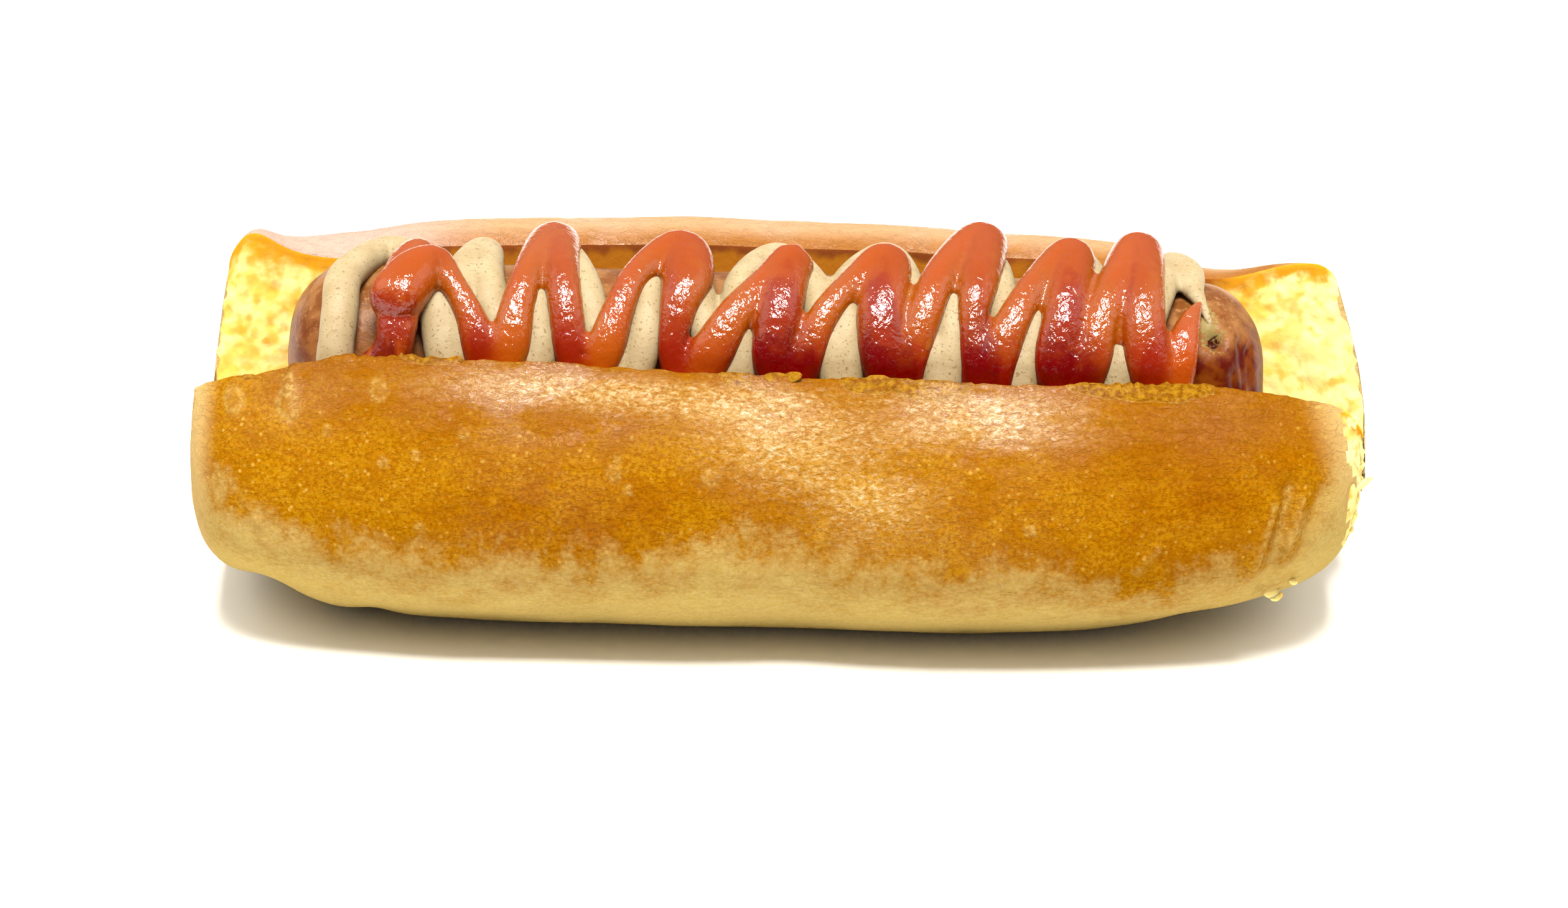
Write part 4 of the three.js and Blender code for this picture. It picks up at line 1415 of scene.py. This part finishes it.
def crumb_finish():
    """Soft yellow crumb, amber along the back cut edge, with painted amber shade deep in its pores."""
    finish = Finish("crumb")
    mottle = finish.noise(2.9, 2, 0.5)
    fine = finish.noise(0.9, 3, 0.6, shift=4.0)
    bright = finish.between(
        mottle, 0.36, 0.62, seen(240, 192, 82, CRUMB_LIGHT), seen(248, 222, 142, CRUMB_LIGHT)
    )
    right = finish.spread(finish.along("X"), 0.064, 0.074, 0.0, 0.4)
    bright = finish.mix(right, bright, seen(250, 232, 170, CRUMB_LIGHT))
    spots = finish.spread(finish.noise(2.0, 1, 0.4, shift=6.0), 0.52, 0.78, 0.0, 0.8)
    bright = finish.mix(spots, bright, seen(222, 164, 40, CRUMB_LIGHT))
    # Amber deeper in the pores: painted shade.
    colour = finish.between(finish.attribute("hollow"), 0.1, 1.1, bright, seen(218, 156, 36, CRUMB_LIGHT))
    from_edge = finish.attribute("from_edge")
    edge = finish.unsteady(finish.unsteady(from_edge, fine, 0.4), mottle, 1.2)
    edge = finish.times(edge, finish.attribute("edge_band"))
    colour = finish.between(edge, 6.2, 0.6, colour, seen(206, 140, 16, 1.5))
    cut_crust = finish.attribute("cut_crust")
    amber = finish.times(finish.spread(from_edge, 8, 6), cut_crust)
    colour = finish.mix(amber, colour, seen(196, 116, 3))
    cut = finish.times(finish.spread(finish.unsteady(from_edge, mottle, 0.5), 1.7, 0.3), cut_crust)
    colour = finish.mix(cut, colour, seen(146, 68, 6))
    return finish.shade(
        Base_Color=colour,
        Roughness=0.85,
        Specular_IOR_Level=0.1,
        Subsurface_Weight=0.5,
        Subsurface_Radius=(1.0, 0.7, 0.25),
        Subsurface_Scale=0.002,
        Normal=finish.bumps(fine, 0.14),
    )


def skin_finish():
    """Moist sausage skin, unevenly brown, darker and redder round the knot, with fine highlights painted as
    lighter flecks.
    """
    finish = Finish("sausage skin")
    mottle = finish.noise(3.6, 4, 0.6)
    fine = finish.noise(0.7, 3, 0.6, shift=6.0)
    colour = finish.between(mottle, 0.36, 0.64, seen(152, 86, 34), seen(196, 132, 72))
    # Lighter flecks: painted fine highlights.
    colour = finish.between(fine, 0.56, 0.7, colour, seen(206, 144, 88))
    dark = finish.between(mottle, 0.4, 0.6, seen(110, 20, 0), seen(150, 70, 10))
    low = finish.spread(finish.along("Z"), 0.0425, 0.039)
    right = finish.spread(finish.along("X"), 0.03, 0.05, 0.4, 1.0)
    colour = finish.mix(finish.times(low, right), colour, dark)
    smear = finish.unsteady(finish.attribute("near_smear"), fine, 0.8)
    colour = finish.between(smear, 1.5, 0.7, colour, seen(188, 162, 96))
    near = finish.unsteady(finish.attribute("near_knot"), fine, 0.5)
    colour = finish.between(near, 1.2, 0.6, colour, seen(84, 22, 4))
    height = finish.plus(finish.times(mottle, 0.5), finish.times(fine, 0.3))
    return finish.shade(
        Base_Color=colour,
        Roughness=0.34,
        Specular_IOR_Level=0.08,
        Subsurface_Weight=0.15,
        Subsurface_Radius=(1.0, 0.4, 0.2),
        Subsurface_Scale=0.001,
        Normal=finish.bumps(height, 0.25),
    )


def mustard_finish():
    """Smooth pale mustard with fine dark specks."""
    finish = Finish("mustard")
    specks = finish.spread(finish.noise(0.42, 2, 0.6), 0.59, 0.69)
    cloud = finish.noise(3.0, 2, 0.5, shift=2.0)
    colour = finish.between(cloud, 0.35, 0.65, seen(218, 190, 138), seen(230, 204, 154))
    colour = finish.mix(specks, colour, seen(180, 146, 90))
    return finish.shade(
        Base_Color=colour,
        Roughness=0.55,
        Specular_IOR_Level=0.2,
        Subsurface_Weight=0.3,
        Subsurface_Radius=(1.0, 0.8, 0.5),
        Subsurface_Scale=0.0012,
        Normal=finish.bumps(finish.noise(0.5, 3, 0.6, shift=7.0), 0.06),
    )


def ketchup_finish():
    """Wet ketchup: deep red where thick, orange where thin, with painted light higher up and painted shade
    lower down, its gloss broken by fine wrinkles.
    """
    finish = Finish("ketchup")
    wander = finish.noise(2.2, 3, 0.55)
    thick = finish.unsteady(finish.attribute("thickness"), wander, 0.5)
    falling = finish.attribute("falling")
    level = finish.attribute("height")
    high = finish.unsteady(level, wander, 1.0)
    high = finish.math("SUBTRACT", high, finish.spread(falling, 0.2, 0.8, 0.0, 1.6))
    along = finish.along("X")
    middle = finish.times(finish.spread(along, -0.016, -0.005), finish.spread(along, 0.050, 0.038))

    # Deeper red lower down and more orange higher up: painted shade and light, along with the thickness.
    low = finish.mix(falling, seen(206, 84, 8), seen(168, 34, 3))
    low = finish.mix(middle, low, seen(132, 0, 0))
    top = finish.mix(falling, seen(196, 84, 3), seen(186, 76, 1))
    deep = finish.between(high, 39.5, 46.5, low, top)
    low_warm = finish.mix(falling, seen(208, 92, 10), seen(184, 54, 5))
    low_warm = finish.mix(middle, low_warm, seen(162, 14, 0))
    warm = finish.between(high, 39, 46, low_warm, seen(192, 90, 8))
    colour = finish.between(thick, 3.2, 1.2, deep, warm)
    colour = finish.between(thick, 1.0, 0.3, colour, seen(196, 112, 20))
    # Deep red under the blob: painted shade beneath its overhang, where it is also thick.
    belly = finish.times(finish.spread(high, 49.5, 46.0), finish.spread(high, 40.5, 43.0))
    belly = finish.times(belly, finish.spread(thick, 4.2, 6.2))
    colour = finish.mix(belly, colour, seen(164, 40, 0))

    neck = finish.times(finish.spread(along, -0.0495, -0.0520), finish.spread(high, 44.5, 40.5))
    streaks = finish.noise(1.6, 2, 0.5, vector=finish.mapped((1.0, 0.12, 0.12), 27.0))
    streaks = finish.between(streaks, 0.42, 0.58, seen(132, 16, 0), seen(196, 78, 8))
    colour = finish.mix(neck, colour, streaks)

    wrinkles = finish.noise(0.9, 2, 0.5, 0.6, vector=finish.mapped((1.1, 0.9, 0.9), 1.0))
    fine = finish.noise(0.5, 3, 0.6, shift=8.0)
    height = finish.plus(wrinkles, finish.times(fine, 0.15))
    height = finish.times(height, finish.spread(level, 50.5, 48, 0.3, 1.0))
    wet = finish.math("MAXIMUM", neck, finish.spread(level, 40.5, 43.5, 0.4, 1.0))
    wet = finish.times(wet, finish.spread(level, 48, 51.5, 1.0, 0.5))
    return finish.shade(
        Base_Color=colour,
        Roughness=0.3,
        Specular_IOR_Level=0.0,
        Coat_Weight=wet,
        Coat_Roughness=0.04,
        Coat_IOR=1.44,
        Subsurface_Weight=0.2,
        Subsurface_Radius=(1.0, 0.2, 0.05),
        Subsurface_Scale=0.0015,
        Normal=finish.bumps(height, 0.09),
        Coat_Normal=finish.bumps(height, 0.24),
    )


# ---------------------------------------------------------------- the table, the light and the camera

CAMERA_TURN = 0.7
CAMERA_RISE = 26.0
CAMERA_ROLL = 1.1
CAMERA_DISTANCE = 620.0
CAMERA_TARGET = (-2.15, -0.75, 20.0)
CAMERA_LENS = 102.6
CAMERA_SENSOR = 36
PICTURE_WIDTH = 2520
CAMERA_SHIFT = (12 / PICTURE_WIDTH, -14 / PICTURE_WIDTH)
TABLE_HALF = 3000
TABLE_COLOUR = (0.93, 0.91, 0.84, 1)
# Lit rectangles, in metres: where each is, what it faces, its size and how bright it looks.
PANELS = {
    "key": ((0, -0.6, 1.91), (0, 0, 0.02), (0.7, 0.6), 76.0),
    "left fill": ((-0.65, -0.1, 0.6), (0, 0, 0.02), (0.7, 0.6), 1.6),
    "right fill": ((0.65, -0.1, 0.6), (0, 0, 0.02), (0.7, 0.6), 1.5),
}
ROOM_BRIGHT_SIDE = (0, 0.25, 0.97)
ROOM_EDGE = (0.1, 1.0)
ROOM_BRIGHT = 1.3
ROOM_DARK = 0.2


def make_camera():
    """A camera that looks down on the front from CAMERA_DISTANCE."""
    turn, rise, roll = np.radians((CAMERA_TURN, CAMERA_RISE, CAMERA_ROLL))
    back = Vector((np.sin(turn) * np.cos(rise), -np.cos(turn) * np.cos(rise), np.sin(rise)))
    right = Vector((np.cos(turn), np.sin(turn), 0))
    up = back.cross(right)
    rolled_right = right * np.cos(roll) + up * np.sin(roll)
    rolled_up = up * np.cos(roll) - right * np.sin(roll)
    camera = bpy.data.objects.new("camera", bpy.data.cameras.new("camera"))
    bpy.context.collection.objects.link(camera)
    turned = Matrix((rolled_right, rolled_up, back)).transposed().to_4x4()
    place = (Vector(CAMERA_TARGET) + back * CAMERA_DISTANCE) * MM
    camera.matrix_world = Matrix.Translation(place) @ turned
    camera.data.lens = CAMERA_LENS
    camera.data.sensor_width = CAMERA_SENSOR
    camera.data.clip_start = 0.01
    camera.data.shift_x, camera.data.shift_y = CAMERA_SHIFT
    bpy.context.scene.camera = camera


def make_table():
    finish = Finish("white table")
    material = finish.shade(Base_Color=TABLE_COLOUR, Roughness=0.9, Specular_IOR_Level=0.0)
    half = TABLE_HALF
    corners = [(-half, -half, 0), (half, -half, 0), (half, half, 0), (-half, half, 0)]
    table = new_piece("table", corners, [[0, 1, 2, 3]], material, False)


def make_panel(name, place, aim, size, radiance):
    """A lit rectangle. Radiance is how bright it looks, where 1 is white."""
    light = bpy.data.lights.new(name, "AREA")
    light.shape = "RECTANGLE"
    light.size, light.size_y = size
    light.energy = radiance * math.pi * size[0] * size[1]
    panel = bpy.data.objects.new(name, light)
    bpy.context.collection.objects.link(panel)
    panel.location = place
    panel.rotation_euler = (Vector(aim) - Vector(place)).to_track_quat("-Z", "Y").to_euler()


def make_room():
    """A bright ceiling over a dim room, as what the wet surfaces reflect."""
    world = bpy.data.worlds.new("room")
    world.use_nodes = True
    room = Nodes(world.node_tree)
    way = room.node("ShaderNodeTexCoord").outputs["Generated"]
    facing = room.node("ShaderNodeVectorMath", {0: way, 1: ROOM_BRIGHT_SIDE}, operation="DOT_PRODUCT")
    low, high = ROOM_EDGE
    settings = {"Value": facing.outputs["Value"], "From Min": low, "From Max": high}
    settings |= {"To Min": ROOM_DARK, "To Max": ROOM_BRIGHT}
    lit = room.node("ShaderNodeMapRange", settings, interpolation_type="SMOOTHSTEP").outputs["Result"]
    room.tree.links.new(lit, world.node_tree.nodes["Background"].inputs["Strength"])
    world.node_tree.nodes["Background"].inputs["Color"].default_value = (1, 1, 1, 1)
    bpy.context.scene.world = world
    bpy.context.scene.view_settings.view_transform = "Standard"


# ---------------------------------------------------------------- the hot dog

make_camera()
make_table()
for name, sizes in PANELS.items():
    make_panel(name, *sizes)
make_room()

crust = crust_finish()
crumb = crumb_finish()
roll = make_roll(crust, crumb)
flakes = make_flakes(crust)
shreds = make_shreds(roll, crumb)
sausage = make_sausage(skin_finish())
mustard = make_sauce("mustard.strand", [mustard_rows()], mustard_finish(), roundness=1.0, softening=3)
ketchup_strands = [KETCHUP_NECK, ketchup_rows()]
ketchup = make_sauce("ketchup.strand", ketchup_strands, ketchup_finish(), roundness=0.74, softening=2)
set_thickness(ketchup, mustard, sausage)
set_falling(ketchup, ketchup_rows())

PIECES = [
    (roll, "bun", "bread"),
    (sausage, "sausage", "sausage"),
    (mustard, "mustard", "mustard"),
    (ketchup, "ketchup", "ketchup"),
]
for piece, node, slot in PIECES:
    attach(piece, "root")
    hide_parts(node)
for piece in (flakes, shreds):
    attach(piece, "root")
